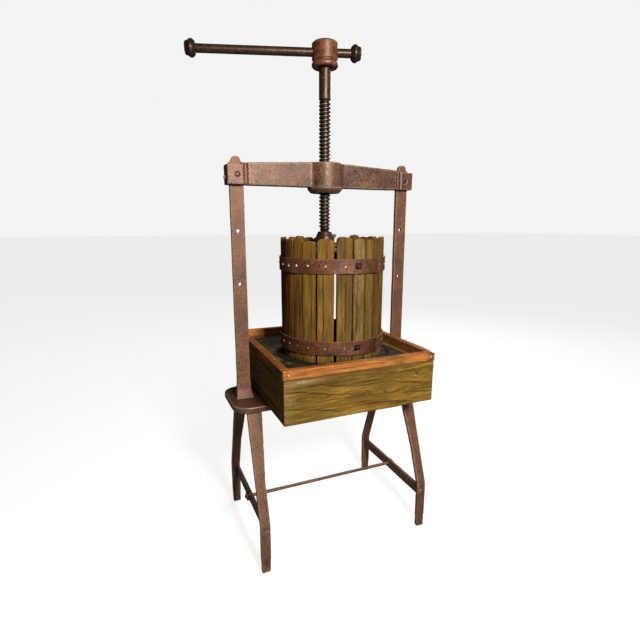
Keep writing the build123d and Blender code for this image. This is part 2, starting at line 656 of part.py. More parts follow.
STRIP_INNER_FRONT = TRAY_FRONT + STRIP_WIDTH
STRIP_INNER_BACK = TRAY_BACK - STRIP_WIDTH
STRIP_INNER_LEFT = TRAY_LEFT + STRIP_WIDTH
STRIP_INNER_RIGHT = TRAY_RIGHT - STRIP_WIDTH
write(make_block(TRAY_LEFT, TRAY_RIGHT, TRAY_FRONT, STRIP_INNER_FRONT, FLOOR_Z, STRIP_TOP, 1.2,
                 True), "front_strip")
write(make_block(TRAY_LEFT, TRAY_RIGHT, STRIP_INNER_BACK, TRAY_BACK, FLOOR_Z, STRIP_TOP, 1.2,
                 True), "rear_strip")
write(make_block(TRAY_LEFT, STRIP_INNER_LEFT, STRIP_INNER_FRONT, STRIP_INNER_BACK, FLOOR_Z, STRIP_TOP, 1.2,
                 True), "left_strip")
write(make_block(STRIP_INNER_RIGHT, TRAY_RIGHT, STRIP_INNER_FRONT, STRIP_INNER_BACK, FLOOR_Z, STRIP_TOP,
                 1.2, True), "right_strip")

# ---------------------------------------------------------------- basket staves
def radial_plane(radius, angle, z):
    """Plane whose normal points straight out of the basket."""
    x, y = polar(radius, angle)
    return Plane(origin=(x, y, z), x_dir=(0, 0, 1), z_dir=(cos(radians(angle)), sin(radians(angle)), 0))


def radial_rod(radius, angle, z, rod_radius, length, mode=Mode.ADD):
    """Round rod pointing straight out of the basket, its inner end at the given radius."""
    with Locations(radial_plane(radius + length / 2, angle, z)):
        Cylinder(rod_radius, length, mode=mode)


def stave_spans(widths, direction):
    """Start and end angles of each stave of one half, from the front split to the rear hinge."""
    spans = []
    angle = SPLIT_ANGLE
    shrunk = LEFT_SHRUNK if direction < 0 else RIGHT_SHRUNK
    for number, width in enumerate(widths):
        start = angle + direction * shrunk.get(number, 0)
        spans.append(tuple(sorted((start, angle + direction * width))))
        angle += direction * width
    return spans


def is_nailed(middle):
    """True for the staves that are clear of the hasps."""
    return middle < HASP_ROOT - 3 or middle > HASP_END + 6


def nail_height(bottom, angle):
    """Height of a nail: half way up its hoop, or clear of the knuckle on the slat beside the hinge."""
    step = 0
    if sin(radians(angle)) > NEXT_TO_HINGE:
        step = NAIL_STEP if cos(radians(angle)) < 0 else -NAIL_STEP
    return bottom + HOOP_HEIGHT / 2 + step


def make_stave(low, high, top):
    """Flat slat with radial sides and rounded top corners, with nail holes if it is nailed."""
    middle = (low + high) / 2
    half = radians((high - low - STAVE_GAP) / 2)
    outer_x = STAVE_OUTER * cos(half)
    inner_x = outer_x - STAVE_THICK
    with BuildPart() as stave:
        with BuildSketch(Plane.XY.offset(STAVE_BOTTOM)):
            with BuildLine():
                Polyline((outer_x, -outer_x * tan(half)), (outer_x, outer_x * tan(half)),
                         (inner_x, inner_x * tan(half)), (inner_x, -inner_x * tan(half)), close=True)
            make_face()
        extrude(amount=top - STAVE_BOTTOM)
        top_edges = stave.faces().sort_by(Axis.Z)[-1].edges().sort_by(Axis.Y)
        fillet([top_edges[0], top_edges[-1]], 9)
        if is_nailed(middle):
            for bottom in (UPPER_HOOP_Z, LOWER_HOOP_Z):
                with Locations((outer_x, 0, nail_height(bottom, middle))):
                    Cylinder(NAIL_RADIUS, 2 * NAIL_DEPTH, rotation=(0, 90, 0), mode=Mode.SUBTRACT)
    return Pos(BASKET_X, BASKET_Y, 0) * Rot(0, 0, middle) * stave.part


def make_half_staves(widths, tops, direction):
    """All the staves of one half of the basket, as separate solids."""
    slats = []
    for (low, high), top in zip(stave_spans(widths, direction), tops):
        slats.append(make_stave(low, high, top))
    with BuildPart() as half:
        add(slats)
    return half.part


write(make_half_staves(LEFT_STAVES, LEFT_TOPS, -1), "left_staves")
write(make_half_staves(RIGHT_STAVES, RIGHT_TOPS, 1), "right_staves")


# ---------------------------------------------------------------- hoops, hinge and hasps
def sector(inner, outer, low, high):
    """Flat ring sector about the origin, to add to a sketch on the basket's axis."""
    with BuildSketch() as ring:
        with BuildLine():
            a = CenterArc((0, 0), outer, low, high - low)
            b = CenterArc((0, 0), inner, low, high - low)
            Line(a @ 0, b @ 0)
            Line(a @ 1, b @ 1)
        make_face()
    return ring.sketch


def make_hoop(bottom, side):
    """Half hoop with a hinge knuckle at the rear: the lower half of its height on the left, the upper
    half on the right."""
    rear = 90.0
    low, high = (rear + 0.3, 360 + SPLIT_ANGLE - 0.3) if side < 0 else (SPLIT_ANGLE + 0.3, rear - 0.3)
    knuckle_bottom = bottom if side < 0 else bottom + HOOP_HEIGHT / 2 + 1
    knuckle_height = HOOP_HEIGHT / 2 - 1
    hole = HINGE_PIN_RADIUS if side < 0 else HINGE_PIN_RADIUS + RUNNING
    with BuildPart() as hoop:
        with BuildSketch(Plane((BASKET_X, BASKET_Y, bottom))):
            add(sector(HOOP_INNER, HOOP_OUTER, low, high))
        extrude(amount=HOOP_HEIGHT)
        with BuildSketch(Plane((BASKET_X, BASKET_Y, knuckle_bottom))):
            with Locations((0, HINGE_RADIUS)):
                Circle(KNUCKLE_RADIUS)
            with BuildLine():
                Polyline((side * 1, HINGE_RADIUS + KNUCKLE_RADIUS), (side * 5, HINGE_RADIUS + KNUCKLE_RADIUS - 2),
                         (side * 20, HOOP_OUTER - 2), (side * 6, HOOP_INNER + 1),
                         (side * 1, HOOP_INNER + 3.5), close=True)
            make_face()
            with Locations((0, HINGE_RADIUS)):
                Circle(hole, mode=Mode.SUBTRACT)
        extrude(amount=knuckle_height)
        for start, end in stave_spans(LEFT_STAVES if side < 0 else RIGHT_STAVES, side):
            angle = (start + end) / 2
            if is_nailed(angle):
                radial_rod(HOOP_INNER - 5, angle, nail_height(bottom, angle), NAIL_RADIUS + RUNNING, 10,
                           Mode.SUBTRACT)
        if side > 0:
            radial_rod(HOOP_INNER - 5, STUD_ANGLE, bottom + HOOP_HEIGHT / 2, STUD_RADIUS, 10,
                       Mode.SUBTRACT)
    return hoop.part


write(make_hoop(UPPER_HOOP_Z, -1), "upper_left_hoop")
write(make_hoop(UPPER_HOOP_Z, 1), "upper_right_hoop")
write(make_hoop(LOWER_HOOP_Z, -1), "lower_left_hoop")
write(make_hoop(LOWER_HOOP_Z, 1), "lower_right_hoop")

with BuildPart() as hinge_pin:
    top = UPPER_HOOP_Z + HOOP_HEIGHT
    with BuildSketch(Plane((BASKET_X, BASKET_Y + HINGE_RADIUS, LOWER_HOOP_Z - 6))):
        Circle(HINGE_PIN_RADIUS)
    extrude(amount=top + 1 - (LOWER_HOOP_Z - 6))
    with BuildSketch(Plane((BASKET_X, BASKET_Y + HINGE_RADIUS, top + 0.4))):
        Circle(2 * HINGE_PIN_RADIUS)
    extrude(amount=5)
    fillet(hinge_pin.edges().filter_by(GeomType.CIRCLE).sort_by(Axis.Z)[-1], 2)
write(hinge_pin.part, "hinge_pin")


def make_hasp(bottom):
    """Springy strap that laps over the right hoop, with a slot for the stud and a turned-out end."""
    inner = HOOP_OUTER + HASP_PLAY
    middle_z = bottom + HOOP_HEIGHT / 2
    with BuildPart() as hasp:
        with BuildSketch(Plane((BASKET_X, BASKET_Y, bottom))):
            add(sector(inner, inner + HOOP_THICK, HASP_ROOT, HASP_END))
            with BuildLine():
                low_point = (inner * cos(radians(HASP_END)), inner * sin(radians(HASP_END)))
                far = inner + HOOP_THICK
                high_point = (far * cos(radians(HASP_END)), far * sin(radians(HASP_END)))
                lip_in = ((inner + 4) * cos(radians(HASP_END + 3)), (inner + 4) * sin(radians(HASP_END + 3)))
                lip_out = ((far + 4) * cos(radians(HASP_END + 2.4)), (far + 4) * sin(radians(HASP_END + 2.4)))
                Polyline(low_point, lip_in, lip_out, high_point, close=True)
            make_face()
        extrude(amount=HOOP_HEIGHT)
        with BuildSketch(Plane((BASKET_X, BASKET_Y, middle_z - SLOT_HEIGHT / 2))):
            add(sector(inner - 2, inner + 8, SLOT_START, SLOT_END))
        extrude(amount=SLOT_HEIGHT, mode=Mode.SUBTRACT)
    return hasp.part


write(make_hasp(UPPER_HOOP_Z), "upper_hasp")
write(make_hasp(LOWER_HOOP_Z), "lower_hasp")


with BuildPart() as hasp_studs:
    for bottom in (UPPER_HOOP_Z, LOWER_HOOP_Z):
        with BuildSketch(radial_plane(HOOP_INNER + 0.2, STUD_ANGLE, bottom + HOOP_HEIGHT / 2)):
            Circle(STUD_RADIUS)
        extrude(amount=HOOP_THICK + 8)
    fillet(hasp_studs.edges().filter_by(GeomType.CIRCLE).group_by(Axis.Y)[0], 1.5)
write(hasp_studs.part, "hasp_studs")


def make_hoop_nails(widths, direction):
    """Round-headed nails, one through each hoop into the middle of each stave."""
    with BuildPart() as nails:
        for low, high in stave_spans(widths, direction):
            middle = (low + high) / 2
            if is_nailed(middle):
                for bottom in (UPPER_HOOP_Z, LOWER_HOOP_Z):
                    z = nail_height(bottom, middle)
                    radial_rod(HOOP_OUTER - 10, middle, z, NAIL_RADIUS, 10.5)
                    with BuildSketch(radial_plane(HOOP_OUTER, middle, z)):
                        Circle(3.2)
                    extrude(amount=1.6, taper=30)
    return nails.part


write(make_hoop_nails(LEFT_STAVES, -1), "left_hoop_nails")
write(make_hoop_nails(RIGHT_STAVES, 1), "right_hoop_nails")
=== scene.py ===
import json
import math
import bmesh
import bpy
import numpy as np
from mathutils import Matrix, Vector


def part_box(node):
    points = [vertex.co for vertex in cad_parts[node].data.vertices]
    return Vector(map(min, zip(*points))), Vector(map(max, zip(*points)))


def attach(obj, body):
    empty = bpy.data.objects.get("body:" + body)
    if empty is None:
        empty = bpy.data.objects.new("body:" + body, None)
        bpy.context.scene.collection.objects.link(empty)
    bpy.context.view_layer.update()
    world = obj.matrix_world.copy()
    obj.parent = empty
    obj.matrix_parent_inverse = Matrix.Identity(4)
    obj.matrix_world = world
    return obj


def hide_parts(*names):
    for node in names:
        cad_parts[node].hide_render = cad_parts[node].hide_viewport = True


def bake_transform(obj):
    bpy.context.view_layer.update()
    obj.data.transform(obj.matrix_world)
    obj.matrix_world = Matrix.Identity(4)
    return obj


# Looks of the antique cider press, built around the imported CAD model.  Metres throughout.
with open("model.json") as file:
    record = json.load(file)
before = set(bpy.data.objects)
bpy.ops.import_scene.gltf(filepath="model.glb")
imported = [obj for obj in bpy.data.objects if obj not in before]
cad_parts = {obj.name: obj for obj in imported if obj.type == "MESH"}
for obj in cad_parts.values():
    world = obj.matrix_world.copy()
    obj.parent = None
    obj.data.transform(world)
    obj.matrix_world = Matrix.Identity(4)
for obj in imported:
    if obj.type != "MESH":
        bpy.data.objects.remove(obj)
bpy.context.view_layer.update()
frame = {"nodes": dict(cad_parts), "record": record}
MM = 0.001

# ---------------------------------------------------------------- camera, light and floor
scene = bpy.context.scene
scene.view_settings.view_transform = "Standard"

# the photo's camera: it stands to the front left, looks slightly down and takes in the whole press
CAMERA_PLACE = (-0.5278, -1.2012, 0.9257)
CAMERA_TILT = 77.96
CAMERA_BEARING = -23.14
CAMERA_LENS = 25.15
SENSOR_WIDTH = 36
camera = bpy.data.objects.new("camera", bpy.data.cameras.new("camera"))
camera.location = CAMERA_PLACE
camera.rotation_euler = (math.radians(CAMERA_TILT), 0, math.radians(CAMERA_BEARING))
camera.data.sensor_width = SENSOR_WIDTH
camera.data.lens = CAMERA_LENS
scene.collection.objects.link(camera)
scene.camera = camera


def soft_light(name, place, target, size, power, colour=(1, 1, 1)):
    """Square studio light at place, facing target."""
    data = bpy.data.lights.new(name, "AREA")
    data.size = size
    data.energy = power
    data.color = colour
    light = bpy.data.objects.new(name, data)
    light.location = place
    light.rotation_euler = (Vector(target) - Vector(place)).to_track_quat("-Z", "Y").to_euler()
    scene.collection.objects.link(light)


# name, place, target, size in metres, power in watts and colour
soft_light("key", (-0.06, -1.80, 1.55), (0, 0, 0.75), 0.36, 66, (1, 0.94, 0.84))
soft_light("right", (1.9, -0.5, 1.5), (0.1, 0, 0.8), 0.9, 4, (1, 0.93, 0.82))
soft_light("back", (2.0, 1.9, 2.3), (0, 0, 0.75), 1.2, 42, (1, 0.95, 0.88))


class Graph:
    """Short names for wiring up the nodes of one material or world."""

    def __init__(self, owner):
        owner.use_nodes = True
        self.tree = owner.node_tree
        self.tree.nodes.clear()

    def node(self, kind, values=(), **settings):
        made = self.tree.nodes.new("ShaderNode" + kind)
        for key, value in settings.items():
            setattr(made, key, value)
        for key, value in dict(values).items():
            if isinstance(value, bpy.types.NodeSocket):
                self.tree.links.new(value, made.inputs[key])
            else:
                made.inputs[key].default_value = value
        return made

    def maths(self, operation, a, b=0.0):
        return self.node("Math", {0: a, 1: b}, operation=operation).outputs[0]

    def mix(self, factor, a, b, blend="MIX"):
        made = self.node("Mix", {0: factor, 6: a, 7: b}, data_type="RGBA", blend_type=blend)
        return made.outputs[2]

    def ramp(self, factor, *stops):
        """Colour or grey ramp; each stop is (position, value)."""
        made = self.node("ValToRGB", {0: factor})
        while len(made.color_ramp.elements) < len(stops):
            made.color_ramp.elements.new(1)
        for element, (place, value) in zip(made.color_ramp.elements, stops):
            element.position = place
            element.color = rgba(value)
        return made.outputs[0]

    def noise(self, vector, scale, detail=3.0, roughness=0.5, distortion=0.0):
        values = {"Vector": vector, "Scale": scale, "Detail": detail, "Roughness": roughness,
                  "Distortion": distortion}
        return self.node("TexNoise", values).outputs[0]

    def attribute(self, name):
        return self.node("Attribute", attribute_name=name)

    def stretched(self, vector, scale, shift=(0, 0, 0)):
        return self.node("Mapping", {"Vector": vector, "Scale": scale, "Location": shift}).outputs[0]


def rgba(value):
    """A grey number or a colour of three numbers, with alpha."""
    return (value,) * 3 + (1,) if isinstance(value, (int, float)) else tuple(value) + (1,)


world = bpy.data.worlds.new("studio")
scene.world = world
graph = Graph(world)
seen = graph.node("LightPath").outputs["Is Camera Ray"]
lighting = graph.node("Background", {0: (1, 0.94, 0.86, 1), 1: 0.06})
backdrop = graph.node("Background", {0: (1, 1, 1, 1), 1: 0.90})
both = graph.node("MixShader", {0: seen, 1: lighting.outputs[0], 2: backdrop.outputs[0]})
graph.node("OutputWorld", {0: both.outputs[0]})

floor_material = bpy.data.materials.new("pale_floor")
graph = Graph(floor_material)
seen = graph.node("LightPath").outputs["Is Camera Ray"]
matt = graph.node("BsdfDiffuse", {0: (0.30, 0.30, 0.295, 1)})
glow = graph.node("Emission", {0: (1, 1, 1, 1), 1: graph.maths("MULTIPLY", seen, 0.82)})
both = graph.node("AddShader", {0: matt.outputs[0], 1: glow.outputs[0]})
graph.node("OutputMaterial", {0: both.outputs[0]})

FLOOR_HALF = 40
floor_corners = [(x * FLOOR_HALF, y * FLOOR_HALF, 0) for x, y in ((-1, -1), (1, -1), (1, 1), (-1, 1))]
floor_mesh = bpy.data.meshes.new("floor")
floor_mesh.from_pydata(floor_corners, [], [(0, 1, 2, 3)])
floor_mesh.materials.append(floor_material)
floor = bpy.data.objects.new("floor", floor_mesh)
scene.collection.objects.link(floor)


# ---------------------------------------------------------------- repeatable noise for shaping meshes
def chance(x, y, z, seed):
    """Pseudo-random number from 0 to 1 for each whole-number point."""
    mask = np.uint64(0xFFFFFFFF)
    h = (x.astype(np.uint64) * np.uint64(73856093)) ^ (y.astype(np.uint64) * np.uint64(19349663))
    h = (h ^ (z.astype(np.uint64) * np.uint64(83492791)) ^ np.uint64(seed * 2654435761 % 2**32)) & mask
    for shift, factor in ((16, 2246822519), (13, 3266489917)):
        h = ((h ^ (h >> np.uint64(shift))) * np.uint64(factor)) & mask
    return (h ^ (h >> np.uint64(16))).astype(float) / 2**32


def noise(points, size, seed=0, octaves=1):
    """Smooth noise from about -1 to 1 at each point; size is how wide its blobs are, one number or three."""
    total = np.zeros(len(points))
    for octave in range(octaves):
        scaled = points * 2**octave / np.asarray(size, float) + 5000
        cell = np.floor(scaled)
        part = scaled - cell
        part = part * part * (3 - 2 * part)
        cell = cell.astype(np.int64)
        value = np.zeros(len(points))
        for corner in range(8):
            step = np.array([corner & 1, corner >> 1 & 1, corner >> 2 & 1])
            weight = np.prod(np.where(step, part, 1 - part), axis=1)
            value += weight * chance(*(cell + step).T, seed + octave)
        total += (2 * value - 1) / 2**octave
    return total


# ---------------------------------------------------------------- mesh building
def build(name, points, faces, material, **attributes):
    """New smooth-shaded mesh object with a number or a vector stored at each point."""
    mesh = bpy.data.meshes.new(name)
    mesh.from_pydata(np.asarray(points).tolist(), [], [list(face) for face in faces])
    mesh.validate()
    shaped = bmesh.new()
    shaped.from_mesh(mesh)
    bmesh.ops.recalc_face_normals(shaped, faces=shaped.faces)
    shaped.to_mesh(mesh)
    shaped.free()
    return dress(mesh, name, material, attributes)


def dress(mesh, name, material, attributes):
    """Object for a finished mesh, with its material and its attributes."""
    mesh.shade_smooth()
    mesh.materials.clear()
    mesh.materials.append(material)
    for key, values in attributes.items():
        values = np.asarray(values, np.float32)
        vector = values.ndim == 2
        layer = mesh.attributes.new(key, "FLOAT_VECTOR" if vector else "FLOAT", "POINT")
        layer.data.foreach_set("vector" if vector else "value", values.ravel())
    made = bpy.data.objects.new(name, mesh)
    scene.collection.objects.link(made)
    return made


def stand_for(piece, *nodes):
    """The piece rides with the body of the CAD nodes that it replaces, and those nodes are hidden."""
    body = next(b for b, members in frame["record"]["behaviour"]["bodies"].items() if nodes[0] in members)
    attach(piece, body)
    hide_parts(*nodes)
    return piece


def steps(low, high, size, lip=0.0):
    """Grid lines from low to high about size apart, with closer ones beside both ends for a rounded lip."""
    count = max(1, round((high - low - 2 * lip) / size))
    lines = list(np.linspace(low + lip, high - lip, count + 1))
    if lip:
        ends = [lip * share for share in (0, 0.12, 0.3, 0.55)]
        lines = [low + end for end in ends] + lines + [high - end for end in reversed(ends)]
    return np.array(lines)


def plate(us, vs, ws, solid=None):
    """Closed block on a grid of lines, as (points, faces). solid(u, v) says which cells are kept."""
    cells_u, cells_v, top = len(us) - 1, len(vs) - 1, len(ws) - 1
    keep = np.ones((cells_u + 2, cells_v + 2), bool)
    keep[0] = keep[-1] = keep[:, 0] = keep[:, -1] = False
    if solid:
        for i in range(cells_u):
            for j in range(cells_v):
                keep[i + 1, j + 1] = solid((us[i] + us[i + 1]) / 2, (vs[j] + vs[j + 1]) / 2)
    index, points, faces = {}, [], []

    def corner(i, j, k):
        if (i, j, k) not in index:
            index[i, j, k] = len(points)
            points.append((us[i], vs[j], ws[k]))
        return index[i, j, k]

    for i, j in np.argwhere(keep) - 1:
        ring = [(i, j), (i + 1, j), (i + 1, j + 1), (i, j + 1)]
        faces.append([corner(*c, top) for c in ring])
        faces.append([corner(*c, 0) for c in reversed(ring)])
        for side, (di, dj) in enumerate(((0, -1), (1, 0), (0, 1), (-1, 0))):
            if not keep[i + 1 + di, j + 1 + dj]:
                a, b = ring[side], ring[(side + 1) % 4]
                for k in range(top):
                    faces.append([corner(*a, k), corner(*b, k), corner(*b, k + 1), corner(*a, k + 1)])
    return np.array(points), faces


def eased(points, low, high, radius):
    """Rounds the edges of a block between two corners. radius is one number or one for each point."""
    radius = np.broadcast_to(np.asarray(radius, float), len(points))[:, None]
    core = np.clip(points, np.asarray(low) + radius, np.asarray(high) - radius)
    away = points - core
    length = np.linalg.norm(away, axis=1, keepdims=True)
    return core + away * np.where(length > 1e-9, radius / np.maximum(length, 1e-9), 0)


def points_of(mesh, key="co"):
    values = np.zeros(len(mesh.vertices) * 3)
    mesh.vertices.foreach_get(key, values)
    return values.reshape(-1, 3)


def move_points(mesh, points):
    mesh.vertices.foreach_set("co", points.ravel())
    mesh.update()


def spread(field, points):
    """A field's value at each point: a function of the points, or one number for them all."""
    return field(points) if callable(field) else np.full(len(points), field)


def outward_of(local, low, high):
    """Unit direction away from a block at each point on its surface."""
    outward = np.where(np.abs(local - low) < 1e-9, -1.0, 0) + np.where(np.abs(local - high) < 1e-9, 1.0, 0)
    return outward / np.maximum(np.linalg.norm(outward, axis=1, keepdims=True), 1e-9)


def tube_faces(rings, count):
    """Faces that join each ring of count points to the next."""
    faces = []
    for ring in range(rings - 1):
        for number in range(count):
            a, b = ring * count + number, ring * count + (number + 1) % count
            faces.append([a, b, b + count, a + count])
    return faces


def loose_parts(node):
    """The points of each separate solid of a CAD node."""
    shaped = bmesh.new()
    shaped.from_mesh(frame["nodes"][node].data)
    bmesh.ops.remove_doubles(shaped, verts=shaped.verts, dist=1e-6)
    shaped.verts.ensure_lookup_table()
    unseen, parts = set(range(len(shaped.verts))), []
    while unseen:
        reached, front = set(), [min(unseen)]
        while front:
            at = front.pop()
            if at not in reached:
                reached.add(at)
                front += [e.other_vert(shaped.verts[at]).index for e in shaped.verts[at].link_edges]
        unseen -= reached
        parts.append(np.array([shaped.verts[n].co for n in sorted(reached)]))
    shaped.free()
    return parts


def remeshed(node, voxel, smoothing):
    """Even, dense, softly rounded mesh of a CAD node."""
    source = frame["nodes"][node].data.copy()
    shaped = bmesh.new()
    shaped.from_mesh(source)
    bmesh.ops.remove_doubles(shaped, verts=shaped.verts, dist=1e-6)
    shaped.to_mesh(source)
    shaped.free()
    maker = bpy.data.objects.new(node + "_maker", source)
    scene.collection.objects.link(maker)
    voxels = maker.modifiers.new("voxels", "REMESH")
    voxels.mode = "VOXEL"
    voxels.voxel_size = voxel
    smooth = maker.modifiers.new("smooth", "SMOOTH")
    smooth.factor = 0.5
    smooth.iterations = smoothing
    graph = bpy.context.evaluated_depsgraph_get()
    mesh = bpy.data.meshes.new_from_object(maker.evaluated_get(graph))
    bpy.data.objects.remove(maker)
    return mesh


# ---------------------------------------------------------------- materials
def rusty_iron(name, dark, rust, bloom, shine=0.25, rough=(0.42, 0.78), mottling=190.0):
    """Old iron: a dark body, red rust in clouds, a pale bloom of pits where the bloom attribute asks for it,
    and lighter worn edges where the wear attribute does."""
    material = bpy.data.materials.new(name)
    graph = Graph(material)
    place = graph.node("TexCoord").outputs["Object"]
    clouds = graph.noise(place, 14, 4, 0.6, 0.6)
    mottle = graph.noise(place, mottling, 5, 0.68, 0.3)
    grit = graph.noise(place, mottling * 4.2, 3, 0.6)
    streaks = graph.noise(graph.stretched(place, (60, 60, 9)), 1, 3, 0.55)
    body = graph.mix(graph.ramp(clouds, (0.36, 0.0), (0.66, 1.0)), rgba(dark), rgba(rust))
    body = graph.mix(graph.ramp(streaks, (0.52, 0.0), (0.78, 0.45)), body, rgba([c * 0.45 for c in dark]))
    body = graph.mix(graph.ramp(mottle, (0.38, 0.5), (0.54, 0.0)), body, rgba([c * 0.6 for c in dark]))
    wanted = graph.attribute("bloom").outputs[2]
    pale = graph.maths("MULTIPLY", graph.ramp(mottle, (0.42, 0.0), (0.62, 1.0)), wanted)
    body = graph.mix(pale, body, rgba(bloom))
    flecks = graph.maths("MULTIPLY", graph.ramp(grit, (0.60, 0.0), (0.72, 0.8)), wanted)
    body = graph.mix(flecks, body, rgba([min(1, c * 1.5) for c in bloom]))
    edge = graph.maths("MULTIPLY", graph.attribute("wear").outputs[2],
                       graph.ramp(mottle, (0.35, 0.25), (0.6, 0.8)))
    body = graph.mix(edge, body, rgba([c * 1.25 + 0.02 for c in bloom]))
    # darkens almost to black where the attribute asks: real rust pits, and painted shade behind the hasp slot,
    # beside the strap's end and in the screw's thread roots
    body = graph.mix(graph.attribute("cavity").outputs[2], body, rgba([c * 0.16 for c in dark]))
    roughness = graph.ramp(mottle, (0.35, rough[0]), (0.65, rough[1]))
    relief = graph.maths("ADD", graph.maths("MULTIPLY", mottle, 0.7), graph.maths("MULTIPLY", grit, 0.3))
    bump = graph.node("Bump", {"Height": relief, "Strength": 0.55, "Distance": 0.0011})
    shader = graph.node("BsdfPrincipled", {"Base Color": body, "Roughness": roughness, "Metallic": shine,
                                           "Normal": bump.outputs[0]})
    graph.node("OutputMaterial", {0: shader.outputs[0]})
    return material


def old_wood(name, dark, middle, bright, grey=0.25, rough=0.72):
    """Weathered wood. The grain attribute holds a point along, across and into the board; tone lightens a
    board, stain darkens it with juice and painted shadow, and cracks and grooves get dirt and painted shade."""
    material = bpy.data.materials.new(name)
    graph = Graph(material)
    grain = graph.attribute("grain").outputs["Vector"]
    wander = graph.node("Mapping", {"Vector": grain, "Scale": (5, 22, 22)}).outputs[0]
    drift = graph.node("TexNoise", {"Vector": wander, "Scale": 1.0, "Detail": 2.0}).outputs[1]
    shift = graph.node("VectorMath", {0: drift, 1: (0.006, 0.016, 0.016)}, operation="MULTIPLY").outputs[0]
    bent = graph.node("VectorMath", {0: grain, 1: shift}, operation="ADD").outputs[0]
    rings = graph.noise(graph.stretched(bent, (5, 120, 120)), 1, 6, 0.72, 0.5)
    broad = graph.noise(graph.stretched(bent, (3.5, 34, 34), (6, 1, 8)), 1, 3, 0.55, 0.3)
    fibres = graph.noise(graph.stretched(bent, (24, 620, 620)), 1, 4, 0.7)
    pores = graph.noise(graph.stretched(bent, (45, 900, 900), (3, 5, 7)), 1, 2, 0.5)
    patches = graph.noise(graph.stretched(grain, (9, 22, 22), (1, 2, 3)), 1, 4, 0.62)
    checks = graph.noise(graph.stretched(bent, (5, 210, 210), (9, 4, 2)), 1, 2, 0.4)
    body = graph.ramp(rings, (0.33, dark), (0.47, middle), (0.63, bright))
    body = graph.mix(graph.ramp(broad, (0.38, 0.55), (0.54, 0.0)), body, rgba([0.5 * c for c in middle]))
    body = graph.mix(graph.ramp(broad, (0.52, 0.0), (0.68, 0.45)), body, rgba(bright))
    body = graph.mix(graph.ramp(fibres, (0.38, 0.62), (0.55, 0.0)), body, rgba([c * 0.55 for c in dark]))
    body = graph.mix(graph.ramp(patches, (0.42, 0.0), (0.70, 0.75)), body, rgba([c * 0.62 for c in middle]))
    pale = [0.75 * c + 0.02 for c in bright]
    body = graph.mix(graph.ramp(patches, (0.30, grey), (0.46, 0.0)), body, rgba(pale))
    body = graph.mix(graph.ramp(checks, (0.27, 0.85), (0.33, 0.0)), body, rgba([c * 0.25 for c in dark]))
    body = graph.mix(graph.ramp(pores, (0.30, 0.5), (0.40, 0.0)), body, rgba([c * 0.35 for c in dark]))
    tone = graph.maths("ADD", graph.attribute("tone").outputs[2], 1.0)
    lifted = graph.node("VectorMath", {0: body, "Scale": tone}, operation="SCALE").outputs[0]
    reddened = graph.mix(graph.attribute("red").outputs[2], lifted, rgba((1.25, 0.66, 0.50)), "MULTIPLY")
    bleached = graph.attribute("bleach").outputs[2]
    scuff = graph.maths("MULTIPLY", bleached, graph.ramp(fibres, (0.36, 0.25), (0.58, 1.0)))
    scuffed = graph.mix(scuff, reddened, rgba((0.27, 0.195, 0.090)))
    specks = graph.noise(graph.stretched(grain, (260, 420, 420)), 1, 2, 0.5)
    speck = graph.maths("MULTIPLY", bleached, graph.ramp(specks, (0.64, 0.0), (0.69, 1.0)))
    scuffed = graph.mix(speck, scuffed, rgba((0.62, 0.55, 0.42)))
    # the stain attribute: juice stains and damp, and painted shadow under the front strip and round the
    # basket's foot
    stained_and_shaded = graph.mix(graph.attribute("stain").outputs[2], scuffed, rgba((0.016, 0.011, 0.005)))
    # darkens almost to black in cracks and in the bed's groove: dirt, and painted shade in these hollows
    dirty_and_shaded = graph.mix(graph.attribute("cavity").outputs[2], stained_and_shaded, rgba((0.012, 0.008, 0.005)))
    relief = graph.maths("ADD", graph.maths("MULTIPLY", fibres, 0.6), graph.maths("MULTIPLY", rings, 0.6))
    bump = graph.node("Bump", {"Height": relief, "Strength": 0.6, "Distance": 0.0012})
    roughness = graph.ramp(rings, (0.3, rough + 0.1), (0.7, rough - 0.12))
    shader = graph.node("BsdfPrincipled", {"Base Color": dirty_and_shaded, "Normal": bump.outputs[0],
                                           "Specular IOR Level": 0.14, "Roughness": roughness})
    graph.node("OutputMaterial", {0: shader.outputs[0]})
    return material


# iron: dark body, rust and pale bloom
bar_iron = rusty_iron("bar_iron", (0.058, 0.021, 0.010), (0.175, 0.060, 0.024), (0.34, 0.205, 0.140),
                      mottling=300)
cast_iron = rusty_iron("cast_iron", (0.042, 0.015, 0.007), (0.135, 0.048, 0.020), (0.31, 0.22, 0.170),
                       rough=(0.32, 0.66), mottling=230)
screw_iron = rusty_iron("screw_iron", (0.024, 0.012, 0.008), (0.052, 0.023, 0.014), (0.15, 0.10, 0.075),
                        shine=0.6, rough=(0.30, 0.48), mottling=150)
head_iron = rusty_iron("head_iron", (0.050, 0.015, 0.007), (0.185, 0.050, 0.016), (0.26, 0.15, 0.10),
                       rough=(0.32, 0.58), mottling=110)
hoop_iron = rusty_iron("hoop_iron", (0.048, 0.015, 0.006), (0.150, 0.044, 0.014), (0.25, 0.125, 0.065))
nail_iron = rusty_iron("nail_iron", (0.06, 0.024, 0.013), (0.12, 0.045, 0.024), (0.62, 0.52, 0.42), shine=0.5)

# wood: dark, middle and bright rings
tray_wood = old_wood("tray_wood", (0.058, 0.026, 0.004), (0.165, 0.090, 0.013), (0.32, 0.195, 0.032),
                     grey=0.10)
strip_wood = old_wood("strip_wood", (0.130, 0.036, 0.008), (0.35, 0.118, 0.025), (0.60, 0.265, 0.070),
                      grey=0.06)
bed_wood = old_wood("bed_wood", (0.009, 0.006, 0.002), (0.026, 0.017, 0.006), (0.075, 0.050, 0.016),
                    grey=0.05)
stave_wood = old_wood("stave_wood", (0.048, 0.020, 0.003), (0.150, 0.076, 0.009), (0.27, 0.150, 0.020),
                      grey=0.06)
follower_wood = old_wood("follower_wood", (0.03, 0.016, 0.006), (0.08, 0.048, 0.016), (0.15, 0.095, 0.035),
                         grey=0.1)


